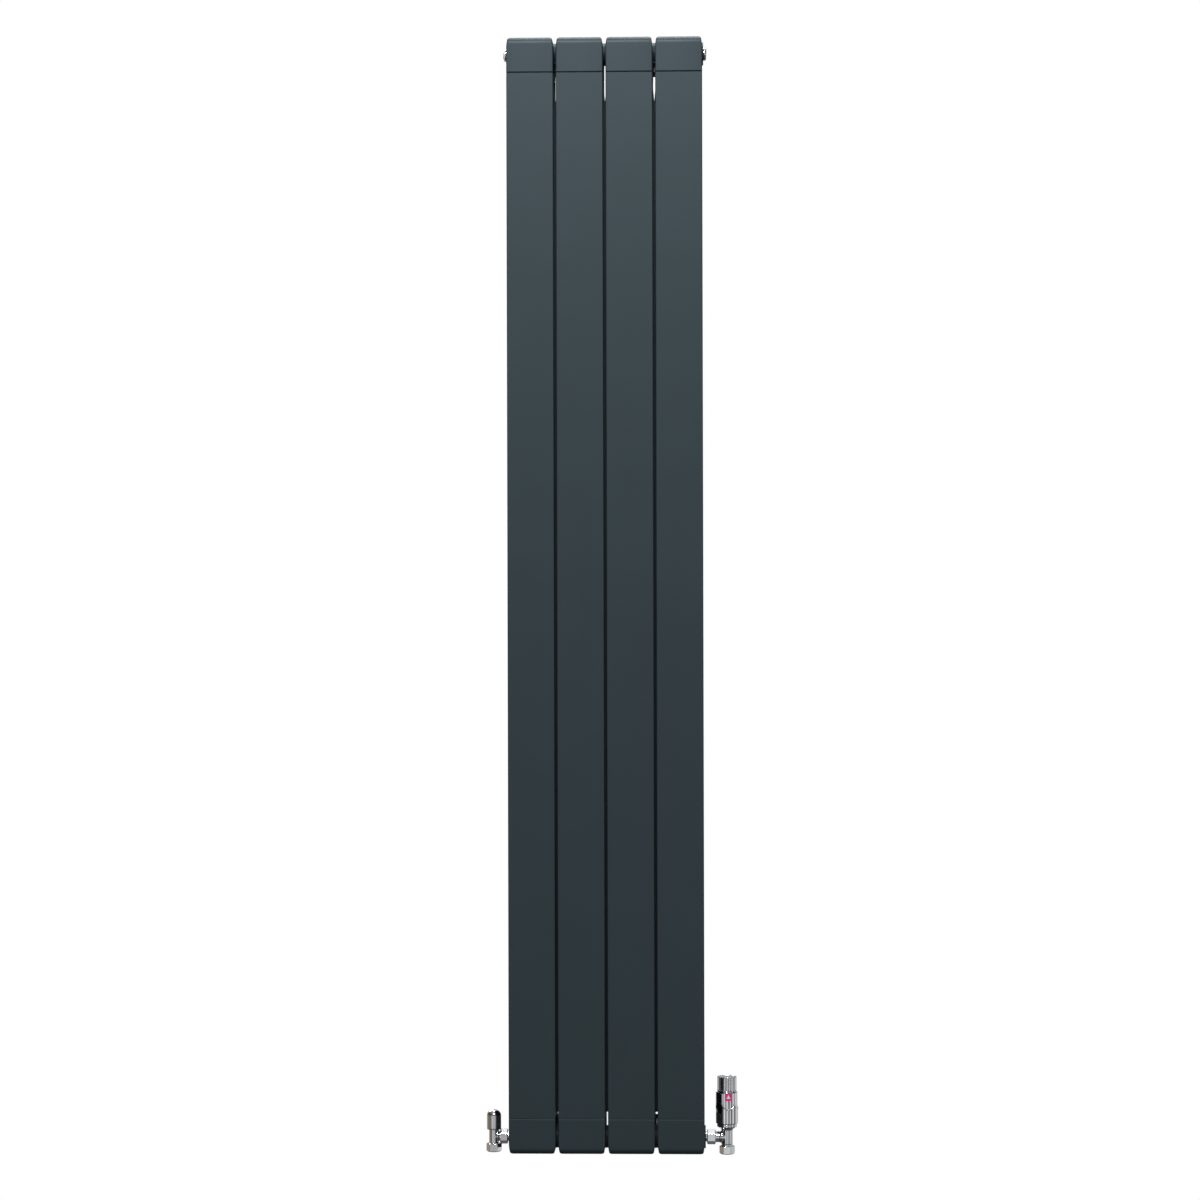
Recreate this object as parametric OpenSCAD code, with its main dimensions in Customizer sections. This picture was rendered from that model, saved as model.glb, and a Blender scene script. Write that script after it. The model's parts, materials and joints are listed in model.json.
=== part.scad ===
// Vertical aluminium radiator of four sections, hung on four wall brackets, with a
// thermostatic valve at its lower right and a lockshield valve at its lower left.
// Frame: the origin is the centre of the wall screws, on the wall. +X is right as seen
// from the room, +Z is up and the radiator's face looks along -Y.

/* [Radiator] */
// Overall height, from the top of the heads to the bottom of the heads
radiator_h = 1800; // [600:10:2200]
// Distance from one section's centre to the next
section_pitch = 80; // [76:1:96]
// Open gap between neighbouring faces
panel_gap = 4.5; // [4:0.25:8]
// Depth of a section, from its face to its back
section_d = 95; // [88:1:120]
// Free space between the sections' backs and the wall
wall_gap = 30; // [20:1:50]
// Height of a cast head, from its seam to its end
head_h = 58; // [50:1:80]
// How far a head's face stands proud of the extruded face
head_proud = 1; // [0.5:0.25:2]

/* [Extruded section] */
// Thickness of the face and its side lips
plate_t = 2; // [1.4:0.1:3]
// Depth of the side lips, measured from the face
lip_d = 10; // [6:1:18]
// Width of the oval water tube
tube_w = 24; // [20:1:30]
// Depth of the oval water tube
tube_d = 34; // [30:1:36]
// Wall of the water tube
tube_wall = 2; // [1.5:0.1:3]
// Thickness of the fins and the back plate
fin_t = 1.4; // [1:0.1:2]
// How far down from the top seam the middle fins are cut slanting, clear of the wall hooks
fin_slant_h = 44; // [20:1:80]

/* [Heads and hubs] */
// Wall of the cast heads
head_wall = 2.6; // [2:0.1:4]
// Distance from the end of a head to its pipe axis
hub_to_end = 22; // [20.5:0.5:26]
// Outer radius of the hub that the nipples screw into
hub_r = 18.5; // [18:0.25:20]
// Radius of the one inch thread in the hub
hub_thread_r = 16.2; // [15:0.1:16.5]
// Thickness of the gasket between two hubs
gasket_t = 1; // [0.5:0.1:2]
// Radius of the half inch thread in the end bushes
bush_thread_r = 10.2; // [9.5:0.1:11]

/* [Valves] */
// Distance from the end hub's face to the thermostatic valve's axis
trv_offset = 34.5; // [32:0.5:45]
// Distance from the end hub's face to the lockshield valve's axis
lockshield_offset = 25; // [24:0.5:40]
// Radius of the pipe socket, for a 15 mm pipe
pipe_r = 7.55; // [7.51:0.01:7.6]
// Spanner size of the union and compression nuts
nut_af = 22; // [22:0.5:27]
// Radius of the thermostatic head's fluted sleeve
sleeve_r = 18.3; // [18:0.1:22]
// Height of the fluted sleeve
sleeve_h = 51; // [46:1:60]
// Radius of the slotted cap above the sleeve
cap_r = 15.6; // [15.2:0.1:17]
// Height of the slotted cap
cap_h = 24.5; // [20:0.5:35]
// Outer radius of the lockshield cap
shield_r = 11.65; // [11.5:0.05:14]
// Height of the lockshield cap
shield_h = 32; // [30:0.5:40]
// Where the dial's mark stands at rest, in degrees to the right of the front
dial_rest = 7; // [-140:1:140]

/* [Wall brackets] */
// Thickness of the bracket plate and arm
bracket_t = 3; // [2:0.25:3.25]
// Width of the bracket plate
bracket_w = 30; // [24:1:50]
// Radius of a bracket's screw hole
bracket_hole_r = 3.25; // [2.5:0.25:4]
// Distance from the pipe axis to the screw hole, away from the radiator's middle
bracket_hole_z = 9; // [8:0.5:9]

/* [Hidden] */
$fn = 96;
arc_steps = 8;                 // straight steps in a quarter round of an outline
slip = 0.05;                   // clearance of a shaft in its bore, and of a thread in its nut
air = 0.3;                     // open space between pieces that move past each other
seam = 0.4;                    // open seam between a head's skirt and the extrusion
eps = 0.5;                     // overshoot of a cutting shape

// Radiator layout
section_count = 4;
panel_w = section_pitch - panel_gap;
half_h = radiator_h / 2;
back_y = -wall_gap;
front_y = back_y - section_d;
pipe_y = back_y - section_d / 2;
pipe_z = half_h - hub_to_end;
seam_z = half_h - head_h;
hub_l = section_pitch - gasket_t;
hub_face_x = (section_count * section_pitch - gasket_t) / 2;
seal_z = seam_z - 6;
face_y = front_y + head_proud;
bore_l = 18;                   // depth of the thread in each end of a hub
waterway_r = 14;               // inner radius of a hub between its threads

// Head outline
face_round = 10;               // rounding of a head from its face into its end
back_round = 16;               // rounding of a head from its end into its back
corner_r = 4;                  // rounding of a head's side corners
taper_in = 1.4;                // how far a head narrows on each side towards its end
taper_h = 14;                  // height over which it narrows
seam_chamfer = 1.2;
spigot_l = 12;                 // length of a head's spigot in the water tube
spigot_gap = 0.15;
seal_groove = 1.1;             // depth and half height of the groove round a spigot

// Fins: their distances from the pipe axis, and their widths
fin_rows = [-31, -15.5, 15.5, 31];
fin_widths = [62, 66, 66, 62];
fin_end_gap = 4;               // how far all fins stop short of each seam

// Middle fins of neighbouring sections pass each other, so the gap between them is dark
fin_pass = 0.4;                // how far each reaches past the line between two sections
fin_step = 1.2;                // how far each half is moved from the pipe axis
fin_slant_in = 3.6;            // how much the slanting cut takes off each side
back_plate_gap = 5;
back_plate_w = section_pitch - back_plate_gap;

// Air vent, with its levels measured out from the hub's face
vent_head_t = 2;
vent_boss_r = 5.1;
vent_screw_r = 2.6;
vent_seat = -7;
vent_top = 5.7;
vent_lip_t = 0.6;

// Pipe fittings
plug_r = 11;                   // outer radius of the vent and the plug
seal_t = 0.8;                  // thickness of the seal under the vent, plug and tails
lip_t = 2.5;                   // thickness of a union nut's lip
union_gap = 2;                 // from the hub's face to the union nut
tail_r = 7.9;                  // radius of a tail where the nut turns on it
tail_flange_r = 9.3;
tail_flange_t = 2.7;
union_thread_r = 9.6;
union_l = 14;
waterway_valve_r = 5.5;
nut_thread_r = 9.3;

// Thermostatic valve levels, measured up from its pipe axis
trv_x = hub_face_x + trv_offset;
trv_nut_bottom = -27.5;
trv_nut_h = 13.5;
trv_stub_bottom = -22.5;
trv_socket_top = -10;
trv_barrel_r = 9.5;
trv_seat_z = -7;
trv_flare_bottom = 12.5;
trv_collar_bottom = 16.7;
trv_collar_top = 20;
trv_collar_r = 14.8;
trv_ring_top = 22.4;
trv_ring_r = 16.3;
sleeve_bottom = trv_ring_top + air;
sleeve_top = sleeve_bottom + sleeve_h;
cap_top = sleeve_top + cap_h;
base_r = 13;                   // fixed carrier that the sleeve turns on
base_bore_r = 11.2;
base_top = sleeve_top - 12;
trv_pin_r = 1.5;
trv_pin_top = 28;
sensor_r = 10.9;
sensor_bottom = 40;
sensor_top = sleeve_top - 2;
flute_count = 5;
flute_w = 20.4;
flute_h = 28;
flute_depth = 0.9;
groove_count = 32;
badge_w = 12;
badge_h = 13.5;

// Lockshield valve levels, measured up from its pipe axis
lockshield_x = -(hub_face_x + lockshield_offset);
shield_nut_bottom = -24.7;
shield_nut_h = 13.6;
shield_barrel_r = 8.1;
shield_seat_z = -7;
shield_rim_bottom = 11.4;      // lower edge of the cap
shield_ledge_top = 15.6;       // ledge inside the cap that it rests on
shield_wall = 1.25;
shield_union_l = 12.8;
spindle_top = 33;
spindle_r = 2;                 // threaded end, in the plug
spindle_neck_r = 2.5;          // plain part, in the gland nut

// Brackets stand in the first and last gap between sections. Their levels are measured from
// the pipe axis towards the radiator's end
bracket_x = (section_count / 2 - 1) * section_pitch;
bracket_low = -24;
bracket_high = bracket_hole_z + 8;
arm_high = 2;
pad_t = 1;
seat_r = hub_r + pad_t + 0.1;
hook_t = 3;

// ---------- helpers ----------

// X of a section's centre, counted from 1 at the left
function section_x(i) = (i - (section_count + 1) / 2) * section_pitch;

// Points of an arc, from angle a0 to a1
function arc(cx, cy, r, a0, a1) =
    [for (k = [0:arc_steps]) let (a = a0 + (a1 - a0) * k / arc_steps) [cx + r * cos(a), cy + r * sin(a)]];

module stadium(w, d) {
    square([w, d - w], center = true);
    for (s = [-1, 1])
        translate([0, s * (d - w) / 2])
            circle(d = w);
}

// Turns a shape made along +Z so that it runs along +X
module along_x() rotate([0, 90, 0]) children();

module ring(r_out, r_in, h) {
    difference() {
        cylinder(r = r_out, h = h);
        translate([0, 0, -eps])
            cylinder(r = r_in, h = h + 2 * eps);
    }
}

// Hexagon bar with its corners chamfered at both ends
module hexagon(af, h) {
    corner = af / sqrt(3);
    c = corner - af / 2;
    intersection() {
        cylinder(r = corner, h = h, $fn = 6);
        rotate_extrude()
            polygon([[0, 0], [af / 2, 0], [corner, c / 2], [corner, h - c / 2], [af / 2, h], [0, h]]);
    }
}

// O-ring of round section that lies round a shaft
module o_ring(inner_r, wire_r) {
    rotate_extrude()
        translate([inner_r + wire_r, 0])
            circle(r = wire_r, $fn = 24);
}

// Helical spring swept as a tube of round wire
module spring(r, wire_r, h, turns) {
    rings = turns * 14;
    sides = 6;
    lead = (h - 2 * wire_r) / turns;
    points = [
        for (k = [0:rings])
            let (a = 360 * turns * k / rings)
            for (s = [0:sides - 1])
                let (b = 360 * s / sides, rr = r + wire_r * cos(b))
                [rr * cos(a), rr * sin(a), wire_r + lead * a / 360 + wire_r * sin(b)]
    ];
    skin = [
        for (k = [0:rings - 1], s = [0:sides - 1])
            let (n = (s + 1) % sides)
            [k * sides + s, (k + 1) * sides + s, (k + 1) * sides + n, k * sides + n]
    ];
    start = [for (s = [0:sides - 1]) s];
    end = [for (s = [sides - 1:-1:0]) rings * sides + s];
    polyhedron(points, concat(skin, [start, end]), convexity = 6);
}

// ---------- radiator sections ----------

module face_2d() {
    edge_r = 1.5;
    translate([0, face_y])
        difference() {
            union() {
                translate([-panel_w / 2, edge_r])
                    square([panel_w, lip_d - edge_r]);
                translate([-panel_w / 2 + edge_r, 0])
                    square([panel_w - 2 * edge_r, lip_d]);
                for (s = [-1, 1])
                    translate([s * (panel_w / 2 - edge_r), edge_r])
                        circle(r = edge_r);
            }
            translate([-panel_w / 2 + plate_t, plate_t])
                square([panel_w - 2 * plate_t, lip_d]);
        }
}

module core_2d() {
    translate([0, pipe_y])
        stadium(tube_w, tube_d);
    translate([-plate_t / 2, face_y + plate_t / 2])
        square([plate_t, pipe_y - face_y - plate_t / 2]);
}

module fins_2d() {
    for (k = [0:len(fin_rows) - 1])
        translate([0, pipe_y + fin_rows[k]])
            square([fin_widths[k], fin_t], center = true);
    translate([-plate_t / 2, pipe_y])
        square([plate_t, back_y - pipe_y]);
}

module back_plate_2d() {
    translate([-back_plate_w / 2, back_y - fin_t])
        square([back_plate_w, fin_t]);
    for (s = [-1, 1])
        translate([s * (back_plate_w - fin_t) / 2 - fin_t / 2, back_y - lip_d / 2])
            square([fin_t, lip_d / 2]);
}

// How far section i's middle fin reaches to side s. At the radiator's ends it is trimmed flush
function fin_reach(i, s) =
    (s < 0 && i == 1) || (s > 0 && i == section_count) ? panel_w / 2 - 0.5 : section_pitch / 2 + fin_pass;

// The middle fin's two halves, seen from the front, with a slanting cut at their top
module middle_fin(i) {
    top = seam_z - fin_end_gap;
    for (s = [-1, 1])
        translate([0, pipe_y - s * fin_step + fin_t / 2, 0])
            rotate([90, 0, 0])
                linear_extrude(fin_t)
                    polygon([
                        [0, -top], [s * fin_reach(i, s), -top], [s * fin_reach(i, s), seam_z - fin_slant_h],
                        [s * (fin_reach(i, s) - fin_slant_in), top], [0, top]
                    ]);
}

module section(i) {
    fin_l = 2 * (seam_z - fin_end_gap);
    color("#3a474b")
        translate([section_x(i), 0, 0])
            difference() {
                union() {
                    linear_extrude(2 * seam_z, center = true) {
                        face_2d();
                        core_2d();
                        back_plate_2d();
                    }
                    linear_extrude(fin_l, center = true)
                        fins_2d();
                    middle_fin(i);
                }
                linear_extrude(2 * seam_z + 2 * eps, center = true)
                    translate([0, pipe_y])
                        tube_inside(0);
            }
}

// Side view of a head as [y, z] points, shrunk by inset; its foot is at foot_z
function head_side(inset, foot_z) = concat(
    [[back_y - inset, foot_z]],
    [[front_y + inset, foot_z]],
    arc(front_y + face_round, half_h - face_round, face_round - inset, 180, 90),
    arc(back_y - back_round, half_h - back_round, back_round - inset, 90, 0)
);

// Front view of a head as [x, z] points, shrunk by inset
function head_front(inset, foot_z) =
    let (w = panel_w / 2 - inset, t = w - taper_in, r = corner_r - inset / 2)
    concat(
        [[-w, foot_z], [w, foot_z]],
        [for (k = [0:arc_steps])
            let (u = k / arc_steps) [w - taper_in * u * u, half_h - inset - corner_r - taper_h * (1 - u)]],
        arc(t - r, half_h - inset - r, r, 0, 90),
        arc(-t + r, half_h - inset - r, r, 90, 180),
        [for (k = [arc_steps:-1:0])
            let (u = k / arc_steps) [-w + taper_in * u * u, half_h - inset - corner_r - taper_h * (1 - u)]]
    );

module head_block(inset, foot_z) {
    intersection() {
        translate([-panel_w / 2, 0, 0])
            rotate([90, 0, 90])
                linear_extrude(panel_w)
                    polygon(head_side(inset, foot_z));
        translate([0, back_y, 0])
            rotate([90, 0, 0])
                linear_extrude(section_d)
                    polygon(head_front(inset, foot_z));
    }
}

// Open rear of a head, below its hub
module head_rear_window() {
    window_w = panel_w - 2 * head_wall - 4;
    translate([-window_w / 2, back_y - head_wall - eps, seam_z - eps])
        cube([window_w, head_wall + 2 * eps, head_h - hub_to_end - 4]);
}

// A 45 degree chamfer along the lower edge of a head's face
module seam_cut() {
    d = seam_chamfer * sqrt(2);
    translate([0, front_y, seam_z + seam])
        rotate([45, 0, 0])
            cube([panel_w + 2 * eps, d, d], center = true);
}

module head_shell() {
    difference() {
        head_block(0, seam_z + seam);
        head_block(head_wall, seam_z + seam - eps);
        head_rear_window();
        seam_cut();
    }
}

// Outline of the water tube's bore, made smaller all round by gap
module tube_inside(gap) {
    stadium(tube_w - 2 * (tube_wall + gap), tube_d - 2 * (tube_wall + gap));
}

// Everything in a head that carries water, before it is bored
module head_waterway_outer() {
    translate([-hub_l / 2, pipe_y, pipe_z])
        along_x()
            cylinder(r = hub_r, h = hub_l);
    translate([0, pipe_y, seam_z])
        linear_extrude(pipe_z - seam_z)
            stadium(tube_w, tube_d);
    translate([0, pipe_y, seam_z - spigot_l])
        linear_extrude(spigot_l)
            tube_inside(spigot_gap);
    translate([-plate_t / 2, front_y + head_wall / 2, seam_z + seam])
        cube([plate_t, pipe_y - front_y - head_wall / 2, pipe_z - seam_z - seam]);
}

module head_bores() {
    for (s = [-1, 1])
        translate([s * (hub_l - bore_l) / 2, pipe_y, pipe_z])
            along_x()
                translate([0, 0, -bore_l / 2 - (s < 0 ? eps : 0)])
                    cylinder(r = hub_thread_r, h = bore_l + eps);
    translate([-hub_l / 2, pipe_y, pipe_z])
        along_x()
            cylinder(r = waterway_r, h = hub_l);
    translate([0, pipe_y, seam_z - spigot_l - eps])
        linear_extrude(pipe_z - seam_z + spigot_l + eps)
            tube_inside(spigot_gap + seal_groove + 1.2);
    translate([0, pipe_y, seal_z - seal_groove])
        linear_extrude(2 * seal_groove)
            difference() {
                tube_inside(0);
                tube_inside(spigot_gap + seal_groove);
            }
}

module head(i) {
    color("#3a474b")
        translate([section_x(i), 0, 0])
            difference() {
                union() {
                    head_shell();
                    head_waterway_outer();
                }
                head_bores();
            }
}

module top_head(i) head(i);

module bottom_head(i) mirror([0, 0, 1]) head(i);

// ---------- nipples, gaskets and end bushes ----------

// Puts its children on the pipe axis at each joint between two sections
module at_joints(z) {
    for (i = [1:section_count - 1])
        translate([section_x(i) + section_pitch / 2, pipe_y, z])
            along_x()
                children();
}

module nipple() {
    l = 2 * bore_l - 4;
    lug = 2.4;
    color("silver")
        translate([0, 0, -l / 2])
            union() {
                ring(hub_thread_r - slip, hub_thread_r - 3.4, l);
                for (s = [-1, 1])
                    translate([s * (hub_thread_r - 4.1), 0, l / 2])
                        cube([lug, lug, l], center = true);
            }
}

module nipples(z) at_joints(z) nipple();

module hub_gaskets() {
    color("#20241f")
        for (s = [-1, 1])
            at_joints(s * pipe_z)
                translate([0, 0, -gasket_t / 2])
                    ring(hub_r - 0.4, hub_thread_r + slip, gasket_t);
}

// Seals in the grooves round the spigots
module head_seals() {
    h = 2 * seal_groove - 0.2;
    color("#20241f")
        for (i = [1:section_count], s = [-1, 1])
            translate([section_x(i), pipe_y, s * seal_z - h / 2])
                linear_extrude(h)
                    difference() {
                        tube_inside(slip);
                        tube_inside(spigot_gap + seal_groove - slip);
                    }
}

// A flush reducing bush for the end of a hub; its outer face is at z = 0, and it runs down
module end_bush() {
    notch_w = 3;
    notch_d = 1.6;
    groove_z = -3;
    difference() {
        translate([0, 0, -bore_l + 1])
            cylinder(r = hub_thread_r - slip, h = bore_l - 1);
        translate([0, 0, -bore_l])
            cylinder(r = bush_thread_r, h = bore_l + 1);
        for (a = [45:90:315])
            rotate([0, 0, a])
                translate([hub_thread_r - 2.6, 0, 0])
                    cube([5.2, notch_w, 2 * notch_d], center = true);
        translate([0, 0, groove_z])
            rotate_extrude()
                translate([hub_thread_r - 0.9, 0])
                    circle(r = 0.95);
    }
}

// Puts its children at a hub's outer face, with +Z pointing out of the radiator
module at_hub_face(side, z) {
    translate([side * hub_face_x, pipe_y, z])
        rotate([0, side * 90, 0])
            children();
}

module bush(side, z) {
    color("#3a474b")
        at_hub_face(side, z)
            end_bush();
}

module bush_seals() {
    groove_z = -3;
    color("#20241f")
        for (side = [-1, 1], z = [-pipe_z, pipe_z])
            at_hub_face(side, z)
                translate([0, 0, groove_z])
                    rotate_extrude()
                        translate([hub_thread_r - 0.95, 0])
                            circle(r = 0.85);
}

// ---------- air vent and blanking plug ----------

// Swelled flange of the vent and the plug, with a rounded rim
module fitting_head(h, round_r) {
    rotate_extrude()
        polygon(concat([[0, 0], [plug_r, 0]],
                       arc(plug_r - round_r, h - round_r, round_r, 0, 90),
                       [[0, h]]));
}

module vent_body() {
    color("#d8dadc")
        at_hub_face(-1, pipe_z)
            difference() {
                union() {
                    translate([0, 0, -10])
                        cylinder(r = bush_thread_r - slip, h = 10 + seal_t);
                    translate([0, 0, seal_t])
                        fitting_head(vent_head_t, 0.8);
                    cylinder(r = vent_boss_r, h = vent_top);
                    translate([0, 0, vent_top - vent_lip_t])
                        cylinder(r = vent_boss_r + 0.5, h = vent_lip_t);
                }
                translate([0, 0, vent_seat])
                    cylinder(r = vent_screw_r + slip, h = 20);
                translate([0, 0, vent_top - 3])
                    cylinder(r = vent_screw_r + 1.3, h = 4);
                translate([0, 0, -11])
                    cylinder(r = 1, h = 11);
            }
}

module vent_screw() {
    tip_z = vent_seat + air;
    shank_h = vent_top - 3 - tip_z;
    key_w = 3.2;
    color("#c9a45a")
        at_hub_face(-1, pipe_z)
            translate([0, 0, tip_z])
                union() {
                    cylinder(r1 = 1.2, r2 = vent_screw_r, h = 2);
                    translate([0, 0, 2])
                        cylinder(r = vent_screw_r, h = shank_h - 2);
                    translate([-key_w / 2, -key_w / 2, shank_h - 0.1])
                        cube([key_w, key_w, 2.6]);
                }
}

// Swivelling ring whose nozzle points down at rest
module vent_spout() {
    spout_z = seal_t + vent_head_t + air;
    spout_t = vent_top - vent_lip_t - air - spout_z;
    nozzle_r = spout_t / 2;
    color("#eceeee")
        at_hub_face(-1, pipe_z)
            translate([0, 0, spout_z])
                difference() {
                    union() {
                        cylinder(r = 8.2, h = spout_t);
                        translate([0, 0, nozzle_r])
                            rotate([0, -90, 0])
                                cylinder(r = nozzle_r, h = 10.4);
                    }
                    translate([0, 0, -eps])
                        cylinder(r = vent_boss_r + slip, h = spout_t + 2 * eps);
                    translate([-vent_boss_r, 0, nozzle_r])
                        rotate([0, -90, 0])
                            cylinder(r = 0.5, h = 6);
                }
}

module blanking_plug() {
    dome_h = 4.4;
    slot_w = 2;
    color("#d8dadc")
        at_hub_face(1, pipe_z)
            difference() {
                union() {
                    translate([0, 0, -10])
                        cylinder(r = bush_thread_r - slip, h = 10 + seal_t + 1);
                    translate([0, 0, seal_t])
                        fitting_head(dome_h, 3);
                }
                translate([0, 0, seal_t + dome_h])
                    cube([slot_w, 16, 3], center = true);
            }
}

module plug_seals() {
    color("#20241f")
        for (side = [-1, 1])
            at_hub_face(side, pipe_z)
                ring(plug_r - 0.6, bush_thread_r, seal_t);
}

// ---------- pieces that both valves have ----------

// Tail screwed into an end bush; z = 0 is the hub's face and +Z points at the valve
module tailpiece() {
    flange_z = union_gap + lip_t + 0.2;
    difference() {
        union() {
            translate([0, 0, -11])
                cylinder(r = bush_thread_r - slip, h = 11);
            cylinder(r = tail_r, h = flange_z);
            translate([0, 0, flange_z])
                cylinder(r = tail_flange_r, h = tail_flange_t);
        }
        translate([0, 0, -12])
            cylinder(r = 5.6, h = 30, $fn = 6);
    }
}

// Union nut; z = 0 is its lip's face
module union_nut(l) {
    difference() {
        hexagon(nut_af, l);
        translate([0, 0, -eps])
            cylinder(r = tail_r + 0.1, h = l);
        translate([0, 0, lip_t])
            cylinder(r = union_thread_r, h = l);
    }
}

// Compression nut; z = 0 is its lower face, where the pipe goes in
module compression_nut(h) {
    lip = 2.2;
    difference() {
        hexagon(nut_af, h);
        translate([0, 0, -eps])
            cylinder(r = pipe_r, h = lip + 2 * eps);
        translate([0, 0, lip])
            cylinder(r = nut_thread_r, h = h);
    }
}

// Brass ring that the nut squeezes onto the pipe
module olive(h) {
    r_out = 8.7;
    rotate_extrude()
        polygon([[pipe_r, 0], [r_out - 0.5, 0], [r_out, h / 2], [r_out - 0.5, h], [pipe_r, h]]);
}

// Arm of a valve from its axis to the union, along +Z, with its threaded end
module valve_arm(arm_r, reach, nut_l) {
    thread_l = nut_l - lip_t - tail_flange_t - 1;
    cylinder(r = arm_r, h = reach - thread_l);
    translate([0, 0, reach - thread_l])
        cylinder(r = union_thread_r - 0.1, h = thread_l);
}

// From the valve's axis to the end of its arm, given the axis's distance from the hub's face
function arm_reach(offset) = offset - union_gap - lip_t - tail_flange_t - 0.3;

// ---------- thermostatic valve ----------

module at_trv(z) translate([trv_x, pipe_y, -pipe_z + z]) children();

// The turning head's pieces, set to the dial's rest angle
module at_dial(z) at_trv(z) rotate([0, 0, dial_rest]) children();

// Points +Z from a valve's axis at the radiator
module facing_radiator(side) rotate([0, -side * 90, 0]) children();

module trv_body() {
    chamber_r = 7.6;
    color("#d8dadc")
        at_trv(0)
            difference() {
                union() {
                    translate([0, 0, trv_stub_bottom])
                        cylinder(r = nut_thread_r - 0.2, h = 12);
                    translate([0, 0, trv_stub_bottom + 10.5])
                        cylinder(r = trv_barrel_r, h = trv_flare_bottom - trv_stub_bottom - 10.5);
                    translate([0, 0, trv_flare_bottom])
                        cylinder(r1 = trv_barrel_r, r2 = trv_collar_r, h = trv_collar_bottom - trv_flare_bottom);
                    translate([0, 0, trv_collar_bottom])
                        cylinder(r = trv_collar_r, h = trv_collar_top - trv_collar_bottom);
                    facing_radiator(1)
                        valve_arm(8.9, arm_reach(trv_offset), union_l);
                }
                translate([0, 0, trv_stub_bottom - eps])
                    cylinder(r = pipe_r, h = trv_socket_top - trv_stub_bottom + eps);
                translate([0, 0, trv_socket_top - eps])
                    cylinder(r = waterway_valve_r, h = 4);
                translate([0, 0, trv_seat_z])
                    cylinder(r = chamber_r, h = 12 - trv_seat_z);
                translate([0, 0, 11])
                    cylinder(r = 7, h = 10);
                facing_radiator(1)
                    cylinder(r = waterway_valve_r, h = trv_offset);
            }
}

module trv_tailpiece() color("#d8dadc") at_hub_face(1, -pipe_z) tailpiece();

module trv_union_nut() {
    color("#d8dadc")
        at_hub_face(1, -pipe_z)
            translate([0, 0, union_gap])
                rotate([0, 0, 90])
                    union_nut(union_l);
}

module trv_compression_nut() color("#d8dadc") at_trv(trv_nut_bottom) compression_nut(trv_nut_h);

module trv_olive() {
    color("#c9a45a")
        at_trv(trv_nut_bottom + 2.3)
            olive(trv_stub_bottom - trv_nut_bottom - 2.4);
}

module trv_insert() {
    color("#c9a45a")
        at_trv(0)
            difference() {
                union() {
                    translate([0, 0, 8])
                        cylinder(r = 7 - slip, h = trv_collar_top - 8);
                    translate([0, 0, trv_collar_top])
                        hexagon(17, 5);
                }
                translate([0, 0, 7])
                    cylinder(r = trv_pin_r + slip, h = 8);
                translate([0, 0, 12])
                    cylinder(r = 4.6, h = 14);
            }
}

module trv_gland_nut() {
    color("#c9a45a")
        at_trv(23)
            difference() {
                ring(4.55, trv_pin_r + slip, 2.6);
                translate([0, 0, 0.8])
                    cylinder(r = trv_pin_r + 1.2, h = 1);
            }
}

module trv_stem_o_ring() {
    color("#20241f")
        at_trv(24.3)
            o_ring(trv_pin_r + slip, 0.48);
}

module trv_insert_spring() {
    color("silver")
        at_trv(12.1)
            spring(3.4, 0.45, 7.6, 4);
}

module trv_stem() {
    disc_r = 6.6;
    color("#c9a45a")
        at_trv(0)
            union() {
                translate([0, 0, -5.4])
                    cylinder(r = trv_pin_r, h = trv_pin_top + 5.4);
                translate([0, 0, -3.6])
                    cylinder(r = disc_r, h = 1.2);
                translate([0, 0, 19.9])
                    cylinder(r = 4.1, h = 1.2);
            }
}

module trv_seat_washer() {
    color("#20241f")
        at_trv(-5.4)
            ring(6.4, trv_pin_r + slip, 1.8);
}

module trv_ring_nut() {
    ring_h = trv_ring_top - trv_collar_bottom;
    lip = 1;
    color("#d8dadc")
        at_trv(trv_collar_bottom)
            difference() {
                cylinder(r = trv_ring_r, h = ring_h);
                translate([0, 0, -eps])
                    cylinder(r = trv_collar_r + slip, h = ring_h - lip + eps);
                cylinder(r = base_r + 0.3, h = ring_h + eps);
            }
}

// Fixed carrier inside the sleeve; its flange is held by the ring nut
module trv_head_base() {
    color("#f0f0ee")
        at_trv(trv_collar_top + slip)
            difference() {
                union() {
                    cylinder(r = trv_collar_r - 0.1, h = 1.2);
                    cylinder(r = base_r, h = base_top - trv_collar_top);
                }
                translate([0, 0, -eps])
                    cylinder(r = base_bore_r, h = base_top);
            }
}

// Liquid capsule with its plunger and the collar that the sleeve's thread drives
module trv_sensor() {
    color("#c8ccd0")
        at_trv(0)
            union() {
                translate([0, 0, trv_pin_top])
                    cylinder(r = 3, h = sensor_bottom - trv_pin_top);
                translate([0, 0, sensor_bottom])
                    cylinder(r = sensor_r, h = sensor_top - sensor_bottom);
                translate([0, 0, base_top + 2])
                    cylinder(r = 14, h = 6);
            }
}

module trv_overrun_spring() {
    color("silver")
        at_trv(sensor_top + 0.1)
            spring(7, 0.7, cap_top - 3 - sensor_top, 5);
}

// U-shaped recess of one flute, cut from the sleeve's outer skin
module flute() {
    intersection() {
        ring(sleeve_r + eps, sleeve_r - flute_depth, sleeve_h + eps);
        translate([0, 0, sleeve_h - flute_h + flute_w / 2])
            rotate([90, 0, 0])
                union() {
                    cylinder(d = flute_w, h = sleeve_r + 1);
                    translate([-flute_w / 2, 0, 0])
                        cube([flute_w, flute_h, sleeve_r + 1]);
                }
    }
}

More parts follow.
